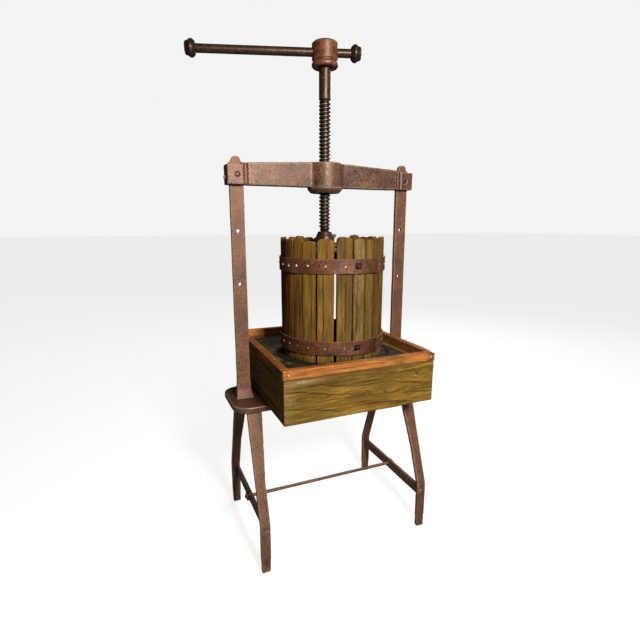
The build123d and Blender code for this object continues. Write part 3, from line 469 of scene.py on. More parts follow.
# ---------------------------------------------------------------- iron pieces
def edge_wear(mesh, points, normals):
    """How far each point sticks out from its neighbours, from 0 on flats to 1 on sharp edges."""
    pairs = np.zeros(len(mesh.edges) * 2, np.int64)
    mesh.edges.foreach_get("vertices", pairs)
    a, b = pairs.reshape(-1, 2).T
    sums, count = np.zeros_like(points), np.zeros(len(points))
    for one, other in ((a, b), (b, a)):
        np.add.at(sums, one, points[other])
        np.add.at(count, one, 1)
    away = points - sums / np.maximum(count, 1)[:, None]
    return np.sum(away * normals, axis=1)


def iron(node, material, voxel=2.0, smoothing=3, roughen=1.0, bloom=0.25):
    """Stands a worn, pitted mesh for a CAD node. bloom is a number or a function of the points."""
    mesh = remeshed(node, voxel * MM, smoothing)
    points, normals = points_of(mesh), points_of(mesh, "normal")
    wear = np.clip(edge_wear(mesh, points, normals) / (0.16 * voxel * MM), 0, 1)
    pits = np.clip(noise(points, 5 * MM, 3, 2) - 0.55, 0, 1)
    rise = 0.22 * noise(points, 16 * MM, 5, 3) + 0.35 * noise(points, 60 * MM, 9) - 0.5 * pits
    points += normals * (rise * roughen * MM)[:, None]
    move_points(mesh, points)
    values = {"bloom": spread(bloom, points), "wear": wear, "cavity": np.clip(pits, 0, 0.5)}
    return stand_for(dress(mesh, node + "_iron", material, values), node)


def bloom_from(x_pale, x_dark, strong, weak):
    """Bloom that fades along X and comes and goes in clouds."""
    def bloom(points):
        share = np.clip((points[:, 0] - x_pale) / (x_dark - x_pale), 0, 1)
        clouds = 0.75 + 0.5 * noise(points, 55 * MM, 21, 2)
        return np.clip((strong + (weak - strong) * share) * clouds, 0, 1)
    return bloom


for node in ("left_upright", "front_left_leg"):
    iron(node, bar_iron, bloom=0.4)
for node in ("right_upright", "front_right_leg", "rear_left_leg", "rear_right_leg"):
    iron(node, bar_iron, bloom=0.25)
for node in ("left_stretcher", "right_stretcher"):
    iron(node, bar_iron, voxel=1.5, bloom=0.2)
iron("tie_rod", bar_iron, voxel=1.2, bloom=0.1, roughen=0.7)
iron("tie_rod_nuts", nail_iron, voxel=0.8, bloom=0.1, roughen=0.6)
iron("crossbeam", cast_iron, bloom=bloom_from(-0.14, 0.02, 0.25, 0.2))
iron("left_shoe", cast_iron, bloom=0.12)
iron("right_shoe", cast_iron, bloom=0.12)
iron("screw_nut", cast_iron, voxel=1.5, bloom=0.15)
iron("jaw_pins", screw_iron, voxel=0.8, roughen=0.6, bloom=0.0)
iron("jaw_set_screws", screw_iron, voxel=0.7, roughen=0.5, bloom=0.0)
iron("screw_head", head_iron, voxel=1.2, roughen=0.8, bloom=0.12)
iron("handle_bar", screw_iron, voxel=1.2, roughen=0.4, bloom=0.08)
iron("left_knob", screw_iron, voxel=0.9, smoothing=14, roughen=0.6, bloom=0.0)
iron("right_knob", screw_iron, voxel=0.9, smoothing=14, roughen=0.6, bloom=0.0)
iron("foot_hub", screw_iron, voxel=1.2, bloom=0.15)
iron("foot_plate", cast_iron, voxel=1.8, bloom=0.2)
iron("foot_set_screw", nail_iron, voxel=0.7, roughen=0.5, bloom=0.1)
iron("foot_bolts", nail_iron, voxel=0.8, roughen=0.5, bloom=0.1)
# the studs take the darkest iron so that the slots read as dark holes: painted shade
iron("hasp_studs", screw_iron, voxel=0.5, roughen=0.3, bloom=0.0)
iron("hinge_pin", hoop_iron, voxel=0.8, roughen=0.5, bloom=0.2)


# ---------------------------------------------------------------- wooden boards
WOOD_FIELDS = ("cavity", "tone", "stain", "bleach", "red")
X, Y, Z = 0, 1, 2


def crack_line(along, across, start, end, points_across, seed):
    """Depth, 0 to 1, of one crack that runs along the grain from start to end through the given heights."""
    middle = np.interp(along, np.linspace(start, end, len(points_across)), points_across)
    wobble = np.stack([along, np.full_like(along, seed * 0.37), np.zeros_like(along)], axis=1)
    middle = middle + 1.1 * MM * noise(wobble, 14 * MM, seed, 2)
    width = (0.9 + 0.45 * noise(wobble, 40 * MM, seed + 3)) * MM
    inside = np.clip((along - start) / (18 * MM), 0, 1) * np.clip((end - along) / (18 * MM), 0, 1)
    return inside * np.exp(-((across - middle) / width) ** 2)


def scattered_cracks(low, high, count, seed):
    """Cracks at repeatable places on a board's face: (start, end, heights)."""
    random = np.random.default_rng(seed)
    length = high[0] - low[0]
    cracks = []
    for _ in range(count):
        start = low[0] + random.uniform(-0.1, 0.7) * length
        height = random.uniform(low[1] + 6 * MM, high[1] - 6 * MM)
        drift = random.uniform(-4, 4, 3) * MM
        cracks.append((start, start + random.uniform(0.2, 0.6) * length, list(height + drift)))
    return cracks


def knotted(grain, knots):
    """Opens the grain around knots, each (place along, place across, size along, size across)."""
    for along, across, long, wide in knots:
        offset = (grain[:, 1] - across) / wide
        pull = np.exp(-((grain[:, 0] - along) / long) ** 2 - offset ** 2)
        grain[:, 1] += wide * (0.55 * pull - 0.72 * offset * pull)
        grain[:, 2] += 1.3 * wide * pull
    return grain


def board(node, grain_axis, thin_axis, material, seed, cracks=(), outer=1, step=(4, 1.6, 4), easing=2.2,
          depth=2.6, reshape=None, knots=(), **fields):
    """Stands a weathered board for a box-shaped CAD node. cracks lie on the face at the outer end of the
    thin axis; reshape and the fields are functions of the world points."""
    low, high = (np.array(corner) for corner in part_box(node))
    wide_axis = 3 - grain_axis - thin_axis
    order = [grain_axis, wide_axis, thin_axis]
    grid = [steps(low[a], high[a], size * MM, 3 * MM) for a, size in zip(order, step)]
    local, faces = plate(*grid)
    low, high = low[order], high[order]
    easing = easing * (1 + 0.5 * noise(local, 30 * MM, seed)) * MM
    shaped = eased(local, low, high, np.clip(easing, 0.6 * MM, 2.9 * MM))
    nearer_end = np.stack([shaped[:, 2] - low[2], high[2] - shaped[:, 2]]).argmin(axis=0)
    on_face = nearer_end == (1 if outer > 0 else 0)
    near_face = np.abs(shaped[:, 2] - (high if outer > 0 else low)[2]) < 2.9 * MM
    split = np.zeros(len(shaped))
    for number, (start, end, heights) in enumerate(cracks):
        split = np.maximum(split, crack_line(shaped[:, 0], shaped[:, 1], start, end, heights, seed + number))
    split *= on_face & near_face
    relief = 0.30 * noise(shaped, (90 * MM, 2.6 * MM, 2.6 * MM), seed + 5, 2) \
        + 0.45 * noise(shaped, (160 * MM, 26 * MM, 26 * MM), seed + 6, 2)
    shaped = shaped + outward_of(local, low, high) * (relief * MM - 0.35 * MM)[:, None]
    shaped[:, 2] -= np.sign(outer) * split * depth * MM
    world_points = np.zeros_like(shaped)
    world_points[:, order] = shaped
    if reshape:
        world_points = reshape(world_points)
    grain = knotted(shaped.copy(), knots) + np.array([seed * 1.7, seed * 0.9, seed * 0.4])
    values = {key: np.clip(spread(fields.get(key, 0.0), world_points), -1, 1) for key in WOOD_FIELDS}
    # cracks darkened almost to black: dirt and painted shade in them
    values.update(grain=grain, cavity=np.clip(split * 1.1, 0, 1))
    return stand_for(build(node + "_board", world_points, faces, material, **values), node)


def near(points, centre, sizes):
    """Soft blob in millimetres, 1 at its centre and 0 far away; None in centre leaves that axis out."""
    share = np.zeros(len(points))
    for axis, (at, size) in enumerate(zip(centre, sizes)):
        if at is not None:
            share += ((points[:, axis] - at * MM) / (size * MM)) ** 2
    return np.exp(-share)


def worn_bottom(points):
    """Right end of the front apron, worn away a little along its bottom edge."""
    low = np.clip((460 * MM - points[:, 2]) / (20 * MM), 0, 1)
    right = np.clip((points[:, 0] - 115 * MM) / (40 * MM), 0, 1)
    points[:, 2] += low * right * (2.4 + 1.2 * noise(points, 18 * MM, 31)) * MM
    return points


# cracks of the front apron: (start and end along X, heights of points spaced evenly between them)
FRONT_CRACKS = [
    (-0.211, -0.007, [0.528, 0.524, 0.513, 0.503, 0.498]), (-0.212, -0.054, [0.488, 0.478, 0.469, 0.458]),
    (-0.158, 0.222, [0.538, 0.537, 0.527, 0.520, 0.520, 0.521, 0.511, 0.504, 0.495]),
    (-0.015, 0.173, [0.465, 0.466, 0.463, 0.456, 0.450]), (0.120, 0.223, [0.481, 0.478, 0.472])]


def apron_bleach(points):
    """Scuffs under the top edge at the left, and down the left end."""
    top_edge = 0.9 * near(points, (-168, None, 552), (52, 1, 7))
    left_end = 0.25 * near(points, (-200, None, 500), (16, 1, 60))
    return top_edge + left_end


def apron_tone(points):
    return 0.16 * noise(points, (120 * MM, 50 * MM, 30 * MM), 4, 2) + 0.04


def apron_damp_and_shadow(points):
    """Damp along the bottom edge, and a painted shadow along the top edge under the strip."""
    return 0.35 * near(points, (None, None, 440), (1, 1, 6)) + 0.5 * near(points, (None, None, 560), (1, 1, 4))


def bottom_stain(points):
    return 0.45 * near(points, (None, None, 440), (1, 1, 8))


board("front_apron", X, Y, tray_wood, 3, FRONT_CRACKS, outer=-1, step=(3, 0.8, 4), reshape=worn_bottom,
      knots=[(0.092, 0.496, 0.055, 0.016), (-0.14, 0.505, 0.07, 0.012), (0.19, 0.530, 0.03, 0.012)],
      bleach=apron_bleach, tone=apron_tone, stain=apron_damp_and_shadow)
OTHER_APRONS = (("rear_apron", Y, 1, 13), ("left_apron", X, -1, 17), ("right_apron", X, 1, 23))
for node, thin, outer, seed in OTHER_APRONS:
    low, high = (tuple(corner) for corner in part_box(node))
    along = X if thin == Y else Y
    marks = scattered_cracks((low[along], low[2]), (high[along], high[2]), 6, seed)
    board(node, along, thin, tray_wood, seed, marks, outer, step=(4, 1.1, 4), bleach=0.1,
          stain=bottom_stain)


def strip_tone(points):
    """Lighter at the left end."""
    return 0.30 * near(points, (-205, None, None), (60, 1, 1)) + 0.12 * noise(points, 45 * MM, 8, 2)


def strip_stain(points):
    """Darker at the right end, with spots along the rest."""
    spots = 0.25 * np.clip(noise(points, 24 * MM, 12, 2), 0, 1)
    return 0.55 * near(points, (216, None, None), (16, 1, 1)) + spots


def chewed_end(points):
    """Right end of the front strip, with its corner rotted back."""
    reach = np.clip((points[:, 0] - 203 * MM) / (20 * MM), 0, 1) * (1 + 0.7 * noise(points, 9 * MM, 71, 2))
    points[:, 2] -= 3.4 * MM * reach * np.clip((points[:, 2] - 566 * MM) / (18 * MM), 0, 1)
    points[:, 1] += 2.2 * MM * reach * np.clip((-228 * MM - points[:, 1]) / (10 * MM), 0, 1)
    return points


STRIP_CRACKS = [(-0.10, 0.06, [-0.2315, -0.2325]), (0.09, 0.2, [-0.236, -0.2345])]
board("front_strip", X, Z, strip_wood, 29, STRIP_CRACKS,
      step=(2.4, 0.9, 1.6), tone=strip_tone, stain=strip_stain, depth=1.8, easing=2.0, reshape=chewed_end)
board("rear_strip", X, Z, strip_wood, 37, step=(4, 1.6, 2.4), tone=strip_tone, stain=strip_stain)
board("left_strip", Y, Z, strip_wood, 41, step=(4, 1.2, 2.0), red=0.15, stain=0.4)
board("right_strip", Y, Z, strip_wood, 43, step=(4, 1.2, 2.0), stain=0.15)
for node, seed in (("front_bearer", 47), ("rear_bearer", 53)):
    board(node, X, Y, bed_wood, seed, step=(6, 2.5, 5))


def timber(node, order, material, voxel, seed, relief=0.3, **fields):
    """Stands a weathered mesh for a wooden CAD node that is more than a box. order lists the axes along,
    across and into the grain."""
    mesh = remeshed(node, voxel * MM, 2)
    points, normals = points_of(mesh), points_of(mesh, "normal")
    shaped = points[:, order]
    rise = relief * noise(shaped, (90 * MM, 3 * MM, 3 * MM), seed, 2) \
        + 0.5 * relief * noise(shaped, (160 * MM, 30 * MM, 30 * MM), seed + 1, 2) - 0.3
    points += normals * (rise * MM)[:, None]
    move_points(mesh, points)
    values = {"grain": shaped + seed * 0.37}
    for key in WOOD_FIELDS:
        values[key] = spread(fields.get(key, 0.0), points)
    return stand_for(dress(mesh, node + "_timber", material, values), node)


BASKET_AXIS = np.array([9, -32]) * MM


def off_axis(points):
    """Distance from the axis of the basket."""
    return np.linalg.norm(points[:, :2] - BASKET_AXIS, axis=1)


def juice_bleach(points):
    """Dried specks beside the groove, most of them towards the front left."""
    ring = np.exp(-((off_axis(points) - 172 * MM) / (14 * MM)) ** 2)
    left = np.clip(0.55 - points[:, 0] / 0.3, 0.1, 1)
    return 0.7 * ring * left * np.clip(0.4 + noise(points, 22 * MM, 61, 2), 0, 1)


def juice_stain_and_shadow(points):
    """Near-black ring at the basket's foot, juice stain and painted shadow, and clouds over the rest of the
    bed.
    """
    # ring at the basket's foot: juice stain, with the basket's shadow painted in
    ring = np.exp(-((off_axis(points) - 156 * MM) / (13 * MM)) ** 2)
    clouds = 0.25 * noise(points, 60 * MM, 63, 2)
    paler_right = 1.1 * (points[:, 0] - 0.1)
    return np.clip(0.85 * ring + clouds - paler_right, 0, 0.92)


def groove_dirt_and_shade(points):
    """Dirt and painted shade on the floor of the round groove, which lies below the bed's face."""
    below = np.clip((560 * MM - points[:, 2]) / (1.5 * MM), 0, 1)
    return below * (np.abs(off_axis(points) - 161 * MM) < 7 * MM)


for number in range(1, 5):
    timber(f"bed_plank_{number}", [X, Y, Z], bed_wood, 1.9, 60 + number, 0.35, bleach=juice_bleach,
           stain=juice_stain_and_shadow, cavity=groove_dirt_and_shade, tone=0.1 * (number % 2) - 0.05)
for number, node in enumerate(("left_follower_board", "right_follower_board")):
    timber(node, [Y, X, Z], follower_wood, 1.9, 71 + number, 0.35, stain=0.15)
for number, node in enumerate(("front_follower_batten", "rear_follower_batten")):
    timber(node, [X, Y, Z], follower_wood, 1.5, 77 + number, 0.3, bleach=0.15)


# ---------------------------------------------------------------- staves of the basket
# tone, bleach, red and stain of each stave, from the front split round to the hinge
LEFT_LOOKS = [
    (-0.20, 0.05, 0.0, 0.0), (0.02, 0.06, 0.1, 0.0), (0.25, 0.05, 0.0, 0.0), (-0.15, 0.0, 0.10, 0.05),
    (-0.10, 0.05, 0.55, 0.05), (-0.20, 0.0, 0.8, 0.10), (-0.15, 0.0, 0.9, 0.10), (-0.2, 0.0, 0.8, 0.1),
    (0.0, 0.1, 0.2, 0.0), (-0.1, 0.0, 0.3, 0.0), (0.1, 0.1, 0.1, 0.0), (-0.05, 0.0, 0.2, 0.05)]
RIGHT_LOOKS = [
    (-0.30, 0.28, 0.0, 0.04), (-0.08, 0.08, 0.0, 0.0), (-0.2, 0.05, 0.0, 0.05), (-0.25, 0.1, 0.1, 0.0),
    (0.12, 0.0, 0.0, 0.0), (-0.08, 0.05, 0.2, 0.05), (0.1, 0.1, 0.1, 0.0), (0.0, 0.0, 0.1, 0.1),
    (0.15, 0.0, 0.0, 0.0), (-0.1, 0.05, 0.2, 0.0), (0.05, 0.1, 0.0, 0.0), (0.0, 0.0, 0.1, 0.0)]
# splits of each stave: (distance along the width from -1 to 1, bottom, top)
LEFT_SPLITS = {0: [(0.1, 0.64, 0.76)], 1: [(-0.3, 0.60, 0.79), (0.5, 0.845, 0.895)],
               2: [(-0.1, 0.835, 0.90), (0.4, 0.57, 0.70)], 3: [(0.2, 0.64, 0.79)], 5: [(-0.2, 0.85, 0.90)]}
RIGHT_SPLITS = {0: [(-0.35, 0.63, 0.77)], 1: [(0.25, 0.84, 0.90), (-0.1, 0.57, 0.68)], 2: [(0.3, 0.63, 0.80)],
                4: [(0.0, 0.6, 0.72)], 7: [(0.3, 0.84, 0.9)]}


def merged(shells):
    """One list of points and one of faces from several shells."""
    points, faces, count = [], [], 0
    for shell_points, shell_faces in shells:
        points.append(shell_points)
        faces += [[corner + count for corner in face] for face in shell_faces]
        count += len(shell_points)
    return np.concatenate(points), faces


def stave(part, look, splits, seed):
    """One slat from the points of its CAD solid: (points, faces, attributes)."""
    centre = part[:, :2].mean(axis=0) - BASKET_AXIS
    out = centre / np.linalg.norm(centre)
    side = np.array([-out[1], out[0]])
    flat = part[:, :2] - BASKET_AXIS
    reach, across = flat @ out, flat @ side
    low = np.array([part[:, 2].min(), -np.abs(across).max(), reach.min()])
    high = np.array([part[:, 2].max(), np.abs(across).max(), reach.max()])
    half = high[1]
    local, faces = plate(steps(low[0], high[0], 3.2 * MM, 3 * MM), steps(low[1], high[1], 1.1 * MM, 2.4 * MM),
                         steps(low[2], high[2], 4 * MM, 2.4 * MM))
    softness = np.clip((1.7 + 0.9 * noise(local, 40 * MM, seed)) * MM, 0.6 * MM, 2.4 * MM)
    shaped = eased(local, low, high, softness)
    round_off = min(12 * MM, 0.75 * half)
    above = np.clip(shaped[:, 0] - (high[0] - round_off), 0, round_off)
    corner = round_off - np.sqrt(np.maximum(round_off ** 2 - above ** 2, 0))
    shaped[:, 1] *= 1 - corner / half
    shaped[:, 0] -= np.clip(above / round_off, 0, 1) * (1.3 + 1.2 * noise(shaped, 9 * MM, seed + 1, 2)) * MM
    split = np.zeros(len(shaped))
    for number, (place, bottom, top) in enumerate(splits):
        drift = noise(np.array([[number, seed, 0.5]]) * 3.3, 1.0, 5)[0] * 1.5 * MM
        split = np.maximum(split, crack_line(shaped[:, 0], shaped[:, 1], bottom, top + 0.03,
                                             [place * half - drift, place * half + drift], seed + number))
    outside = np.clip((shaped[:, 2] - high[2] + 2.4 * MM) / (2 * MM), 0, 1)
    crown = 0.9 * MM * (shaped[:, 1] / half) ** 2
    relief = 0.26 * noise(shaped, (80 * MM, 2.4 * MM, 2.4 * MM), seed + 5, 2) \
        + 0.4 * noise(shaped, (120 * MM, 20 * MM, 20 * MM), seed + 6, 2) - 0.3
    shaped = shaped + outward_of(local, low, high) * (relief * MM)[:, None]
    shaped[:, 2] -= outside * (crown + split * 2.6 * MM)
    taper = shaped[:, 2] / high[2]
    plan = BASKET_AXIS + shaped[:, 2:3] * out + (shaped[:, 1] * taper)[:, None] * side
    tone, bleach, red, stain = look
    clouds = noise(shaped, (70 * MM, 16 * MM, 16 * MM), seed + 8, 2)
    edge = np.clip(1 - (half - np.abs(shaped[:, 1])) / (3 * MM), 0, 1)
    foot = 0.5 * near(np.roll(shaped, -1, axis=1), (None, None, 561), (1, 1, 9))
    values = {"grain": shaped + seed * np.array([1.3, 0.7, 0.31]),
              # cracks darkened almost to black: dirt and painted shade in them
              "cavity": np.clip(split * outside * 1.1, 0, 1),
              "tone": np.clip(tone + 0.14 * clouds, -0.8, 0.8),
              "bleach": np.clip(bleach * (1 + clouds), 0, 1),
              "red": np.full(len(shaped), red),
              "stain": np.clip(stain + 0.35 * edge + foot, 0, 1)}
    return np.column_stack([plan, shaped[:, 0]]), faces, values


FRONT_SPLIT = -92.5


def staves(node, direction, looks, splits, seed):
    """All the slats of one half of the basket as one piece."""
    def turned(part):
        x, y = part[:, :2].mean(axis=0) - BASKET_AXIS
        return (direction * (math.degrees(math.atan2(y, x)) - FRONT_SPLIT)) % 360

    made = [stave(part, looks[n], splits.get(n, []), seed + 11 * n)
            for n, part in enumerate(sorted(loose_parts(node), key=turned))]
    points, faces = merged([shell[:2] for shell in made])
    values = {key: np.concatenate([shell[2][key] for shell in made]) for key in made[0][2]}
    return stand_for(build(node + "_slats", points, faces, stave_wood, **values), node)


staves("left_staves", -1, LEFT_LOOKS, LEFT_SPLITS, 101)
staves("right_staves", 1, RIGHT_LOOKS, RIGHT_SPLITS, 307)


# ---------------------------------------------------------------- hoops and their hasps
def round_points(centre, radius, start, end, count):
    """Points on an arc between two angles in degrees."""
    angles = np.radians(np.linspace(start, end, count))
    return np.asarray(centre) + radius * np.stack([np.cos(angles), np.sin(angles)], axis=1)


def strap(path, low, high, thick, keep, seed):
    """Flat iron strap that follows a path in plan: (points, faces, attributes). keep(s, z) cuts holes."""
    gaps = np.linalg.norm(np.diff(path, axis=0), axis=1)
    far = np.concatenate([[0], np.cumsum(gaps)])
    size = np.array([far[-1], high - low, thick])
    local, faces = plate(steps(0, size[0], 1.5 * MM, 1.2 * MM), steps(0, size[1], 1.6 * MM, 1.2 * MM),
                         steps(0, thick, 1.5 * MM), keep)
    shaped = eased(local, (0, 0, 0), size, 0.9 * MM)
    pits = np.clip(noise(shaped, 5 * MM, seed, 2) - 0.4, 0, 1)
    rise = (0.16 * noise(shaped, 14 * MM, seed + 1, 2) - 0.3 * pits) * MM
    face_side = np.where(shaped[:, 2] > thick / 2, 1, -1)
    out = shaped[:, 2] - thick / 2 + face_side * rise
    height = low + shaped[:, 1] + 0.5 * MM * noise(shaped[:, :1] * [1, 0, 0], 25 * MM, seed + 2) * (
        2 * shaped[:, 1] / size[1] - 1)
    ahead = np.column_stack([np.interp(shaped[:, 0] + 0.8 * MM, far, path[:, axis]) for axis in (0, 1)])
    behind = np.column_stack([np.interp(shaped[:, 0] - 0.8 * MM, far, path[:, axis]) for axis in (0, 1)])
    heading = ahead - behind
    heading /= np.linalg.norm(heading, axis=1, keepdims=True)
    middle = np.column_stack([np.interp(shaped[:, 0], far, path[:, axis]) for axis in (0, 1)])
    plan = middle + out[:, None] * np.column_stack([heading[:, 1], -heading[:, 0]])
    edge = np.clip(1 - np.minimum(shaped[:, 1], size[1] - shaped[:, 1]) / (1.3 * MM), 0, 1)
    values = {"bloom": np.clip(0.22 + 0.4 * noise(shaped, 40 * MM, seed + 4, 2), 0, 1), "wear": 0.8 * edge,
              "cavity": np.clip(pits, 0, 0.8)}
    return np.column_stack([plan, height]), faces, values


PIN = BASKET_AXIS + np.array([0, 157.2]) * MM
HOOP_MIDDLE = 148.5 * MM
HOOP_THICK = 3 * MM
HOOP_HEIGHT = 38 * MM
CURL = 5.1 * MM
CURL_POINTS = 60
CURL_END = CURL * math.radians(300) + 14 * MM
SLOT_BEARINGS = (268.5, 275.5)
SLOT_HALF = 8.5 * MM


def along_hoop(turn, radius):
    """Points round the basket at the given angles in radians."""
    return BASKET_AXIS + radius * np.stack([np.cos(turn), np.sin(turn)], axis=1)


def bearing(points):
    """Angle in degrees of each point round the basket, from -180 to 180."""
    return np.degrees(np.arctan2(points[:, 1] - BASKET_AXIS[1], points[:, 0] - BASKET_AXIS[0]))


def left_band(level, bottom, seed):
    """Left hoop and its hasp in one strap: it curls round the hinge pin, runs round the staves, steps out
    over the other hoop and flares at its end."""
    turn = np.radians(np.linspace(97, 299.5, 700))
    rise = np.interp(np.degrees(turn), (0, 254, 264, 400), (0, 0, 3.4, 3.4)) * MM
    rise = np.convolve(np.pad(rise, 8, mode="edge"), np.ones(17) / 17, "valid")
    rise += 4.2 * MM * np.clip((np.degrees(turn) - 293.5) / 6, 0, 1) ** 2
    path = np.concatenate([round_points(PIN, CURL, 205, -95, CURL_POINTS),
                           along_hoop(turn, (HOOP_MIDDLE + rise)[:, None])])
    lengths = np.concatenate([[0], np.cumsum(np.linalg.norm(np.diff(path, axis=0), axis=1))])
    slot = [lengths[CURL_POINTS + np.searchsorted(turn, math.radians(angle))] for angle in SLOT_BEARINGS]

    def kept(s, z):
        """Everything but the stud's slot and the upper half of the knuckle."""
        in_slot = slot[0] < s < slot[1] and abs(z - HOOP_HEIGHT / 2) < SLOT_HALF
        return not in_slot and not (s < CURL_END and z > HOOP_HEIGHT / 2 - 1 * MM)

    points, faces, values = strap(path, bottom, bottom + HOOP_HEIGHT, HOOP_THICK, kept, seed)
    angle = bearing(points)
    near_end = np.clip((angle + 76) / 12, 0, 1) * (angle < -55)
    values["cavity"] = np.maximum(values["cavity"], 0.55 * near_end * (angle < -62.5))
    values["bloom"] = np.clip(values["bloom"] - 0.5 * near_end, 0, 1)
    band = build(level + "_left_band", points, faces, hoop_iron, **values)
    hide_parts(level + "_left_hoop", level + "_hasp")
    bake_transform(band)


def right_band(level, bottom, seed):
    """Right hoop: its own curl sits above the left one's. It is darkened with painted shade where it shows
    through the left strap's slot, and with a painted shadow beside that strap's end.
    """
    turn = np.radians(np.linspace(83, -92.2, 500))
    path = np.concatenate([round_points(PIN, CURL, -25, 275, CURL_POINTS), along_hoop(turn, HOOP_MIDDLE)])

    def kept(s, z):
        """Everything but the lower half of the knuckle."""
        return not (s < CURL_END and z < HOOP_HEIGHT / 2 + 1 * MM)

    points, faces, values = strap(path, bottom, bottom + HOOP_HEIGHT, HOOP_THICK, kept, seed)
    angle = bearing(points)
    # the hoop seen through the slot is painted dark: painted shade, so that the slot reads as a hole
    shade_behind_slot = (np.abs(angle + 88) < 4.4) & (np.abs(points[:, 2] - bottom - HOOP_HEIGHT / 2) < 10 * MM)
    # painted shadow of the left strap's end, which stands off this hoop
    shadow_beside_end = np.clip(1 - np.abs(angle + 57.5) / 4.5, 0, 1)
    values["cavity"] = np.maximum(values["cavity"], np.maximum(0.97 * shade_behind_slot, 0.8 * shadow_beside_end))
    stand_for(build(level + "_right_band", points, faces, hoop_iron, **values), level + "_right_hoop")


for level, bottom, seed in (("upper", 0.802, 500), ("lower", 0.586, 600)):
    left_band(level, bottom, seed)
    right_band(level, bottom, seed + 50)


# ---------------------------------------------------------------- nails
def nail_head(centre, outward, radius, height, seed):
    """Domed, hammered head and the top of its shank: (points, faces)."""
    outward = Vector(outward).normalized()
    turn = outward.to_track_quat("Z", "Y").to_matrix()
    rings = [(0.92, -1.2 * MM), (1.0, -0.05 * height), (0.99, 0.22 * height), (0.86, 0.55 * height),
             (0.62, 0.82 * height), (0.32, 0.96 * height)]
    count = 22
    points = []
    for share, up in rings:
        for number in range(count):
            angle = 2 * math.pi * number / count
            wobble = 1 + 0.09 * math.sin(2 * angle + seed) + 0.05 * math.sin(3 * angle + 2.1 * seed)
            lean = 0.12 * height * math.cos(angle - seed)
            reach = share * radius * wobble
            points.append((reach * math.cos(angle), reach * math.sin(angle), up + lean * (up > 0)))
    points.append((0.05 * radius, 0, height))
    faces = [list(range(count))[::-1]] + tube_faces(len(rings), count)
    last = (len(rings) - 1) * count
    faces += [[last + number, last + (number + 1) % count, len(points) - 1] for number in range(count)]
    return np.array([Vector(centre) + turn @ Vector(point) for point in points]), faces


def nails(node, placed, radius, height, material=nail_iron):
    """One piece with all the heads of a nail node. placed(part) gives the head's centre, its direction and
    how bright it is."""
    shells, shine = [], []
    for number, part in enumerate(loose_parts(node)):
        centre, outward, bright = placed(part)
        shell = nail_head(centre, outward, radius * MM, height * MM, number * 2.4)
        shells.append(shell)
        shine.append(np.full(len(shell[0]), bright))
    points, faces = merged(shells)
    bright = np.concatenate(shine)
    values = {"bloom": bright, "wear": np.clip(1.3 * bright - 0.1, 0, 1), "cavity": np.zeros(len(points))}
    return stand_for(build(node + "_heads", points, faces, material, **values), node)


def in_hoop(part):
    """A hoop nail points away from the axis of the basket; those of the upper hoop are polished."""
    middle = part.mean(axis=0)
    out = middle[:2] - BASKET_AXIS
    out /= np.linalg.norm(out)
    place = BASKET_AXIS + out * 150 * MM
    upper = middle[2] > 0.7
    luck = chance(*(np.array([middle * 1000]).astype(int).T + 5000), 3)[0]
    bright = (0.95 if upper else 0.35) * (0.55 + 0.45 * luck)
    return (*place, middle[2] + (luck - 0.5) * 3 * MM), (*out, 0), bright


def on_strip(part):
    """A strip nail is driven down, or in from the front or the back at the corners."""
    span = part.max(axis=0) - part.min(axis=0)
    middle = (part.max(axis=0) + part.min(axis=0)) / 2
    if span[2] > span[1]:
        return (middle[0], middle[1], part[:, 2].max() - 1 * MM), (0, 0, 1), 0.25
    front = middle[1] < 0
    edge = part[:, 1].min() + 1 * MM if front else part[:, 1].max() - 1 * MM
    return (middle[0], edge, middle[2]), (0, -1 if front else 1, 0), 0.5


def on_follower(part):
    middle = (part.max(axis=0) + part.min(axis=0)) / 2
    return (middle[0], middle[1], part[:, 2].max() - 1 * MM), (0, 0, 1), 0.3


nails("left_hoop_nails", in_hoop, 3.5, 2.0)
nails("right_hoop_nails", in_hoop, 3.5, 2.0)
nails("strip_nails", on_strip, 3.2, 1.3)
nails("follower_nails", on_follower, 3.2, 1.3)


# ---------------------------------------------------------------- screw
PITCH = 10 * MM
THREAD_ROOT = 12.3 * MM
THREAD_DEPTH = 3.7 * MM
THREAD_START = 907 * MM
THREAD_LOW = 908 * MM
THREAD_HIGH = 1256 * MM
# heights in metres and radii in millimetres of the pintle, thread root, shank and stub
PLAIN_HEIGHTS = (0.8693, 0.870, 0.9075, 0.9085, 1.2555, 1.257, 1.3345, 1.335, 1.356, 1.357)
PLAIN_RADII = (10.2, 11, 11, 12.3, 12.3, 16.2, 16.2, 14, 14, 13)
SCREW_SIDES = 96


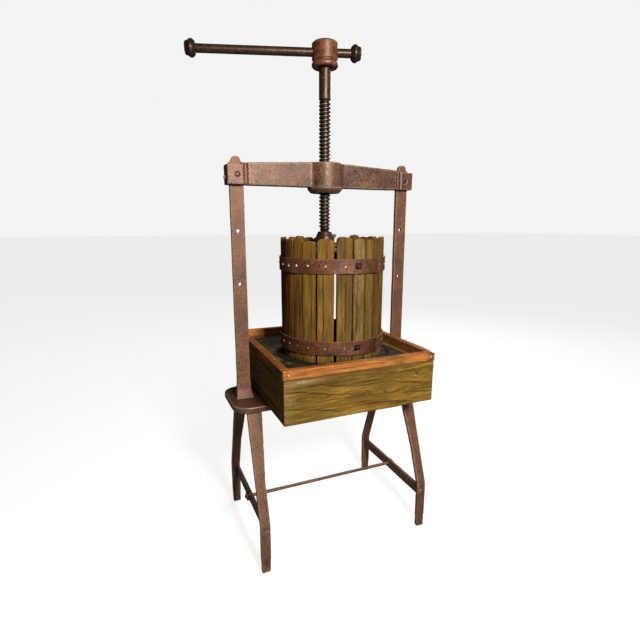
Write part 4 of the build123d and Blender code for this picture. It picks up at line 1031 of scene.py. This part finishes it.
def screw_radius(height, turn):
    """Radius of the screw at a height and a turn from 0 to 1: pintle, trapezoid thread, shank and stub."""
    phase = (height - THREAD_START) / PITCH - turn
    away = 2 * np.abs(phase - np.round(phase))
    thread = THREAD_ROOT + THREAD_DEPTH * np.clip((0.62 - away) / 0.26, 0, 1)
    plain = np.interp(height, PLAIN_HEIGHTS, np.array(PLAIN_RADII) * MM)
    threaded = (height > THREAD_LOW) & (height < THREAD_HIGH)
    run_in = np.clip((height - THREAD_LOW) / (9 * MM), 0, 1)
    run_out = np.clip((THREAD_HIGH - height) / (6 * MM), 0, 1)
    cut = THREAD_ROOT + (thread - THREAD_ROOT) * (run_in * run_out)
    return np.where(threaded, np.maximum(plain, cut), plain)


def screw_piece():
    """The screw as one closed surface, with a worn and pitted helical thread."""
    heights = np.concatenate([np.linspace(0.8693, 0.9075, 26), np.linspace(0.908, 1.256, 500),
                              np.linspace(1.257, 1.335, 60), np.linspace(1.336, 1.357, 12)])
    turn = np.arange(SCREW_SIDES) / SCREW_SIDES
    z, t = (grid.ravel() for grid in np.meshgrid(heights, turn, indexing="ij"))
    radius = screw_radius(z, t)
    around = np.stack([np.cos(2 * math.pi * t), np.sin(2 * math.pi * t)], axis=1)
    points = np.column_stack([around * radius[:, None], z])
    pits = np.clip(noise(points, 5 * MM, 90, 2) - 0.4, 0, 1)
    radius += (0.10 * noise(points, 7 * MM, 91, 2) - 0.35 * pits) * MM
    points = np.column_stack([around * radius[:, None], z])
    last = (len(heights) - 1) * SCREW_SIDES
    ends = [list(range(SCREW_SIDES))[::-1], [last + number for number in range(SCREW_SIDES)]]
    faces = tube_faces(len(heights), SCREW_SIDES) + ends
    crest = np.clip((radius - 15.2 * MM) / (0.8 * MM), 0, 1) * (z < 1.256)
    # thread roots darkened: painted shade in the groove of the thread
    root = np.clip((13.4 * MM - radius) / (1.2 * MM), 0, 1) * (z < 1.256) * (z > 0.908)
    values = {"bloom": np.where(z < 1.256, 0.15, 0.3), "wear": 0.55 * crest,
              "cavity": np.clip(0.75 * root, 0, 1)}
    return stand_for(build("screw_thread", points, faces, screw_iron, **values), "screw")


screw_piece()
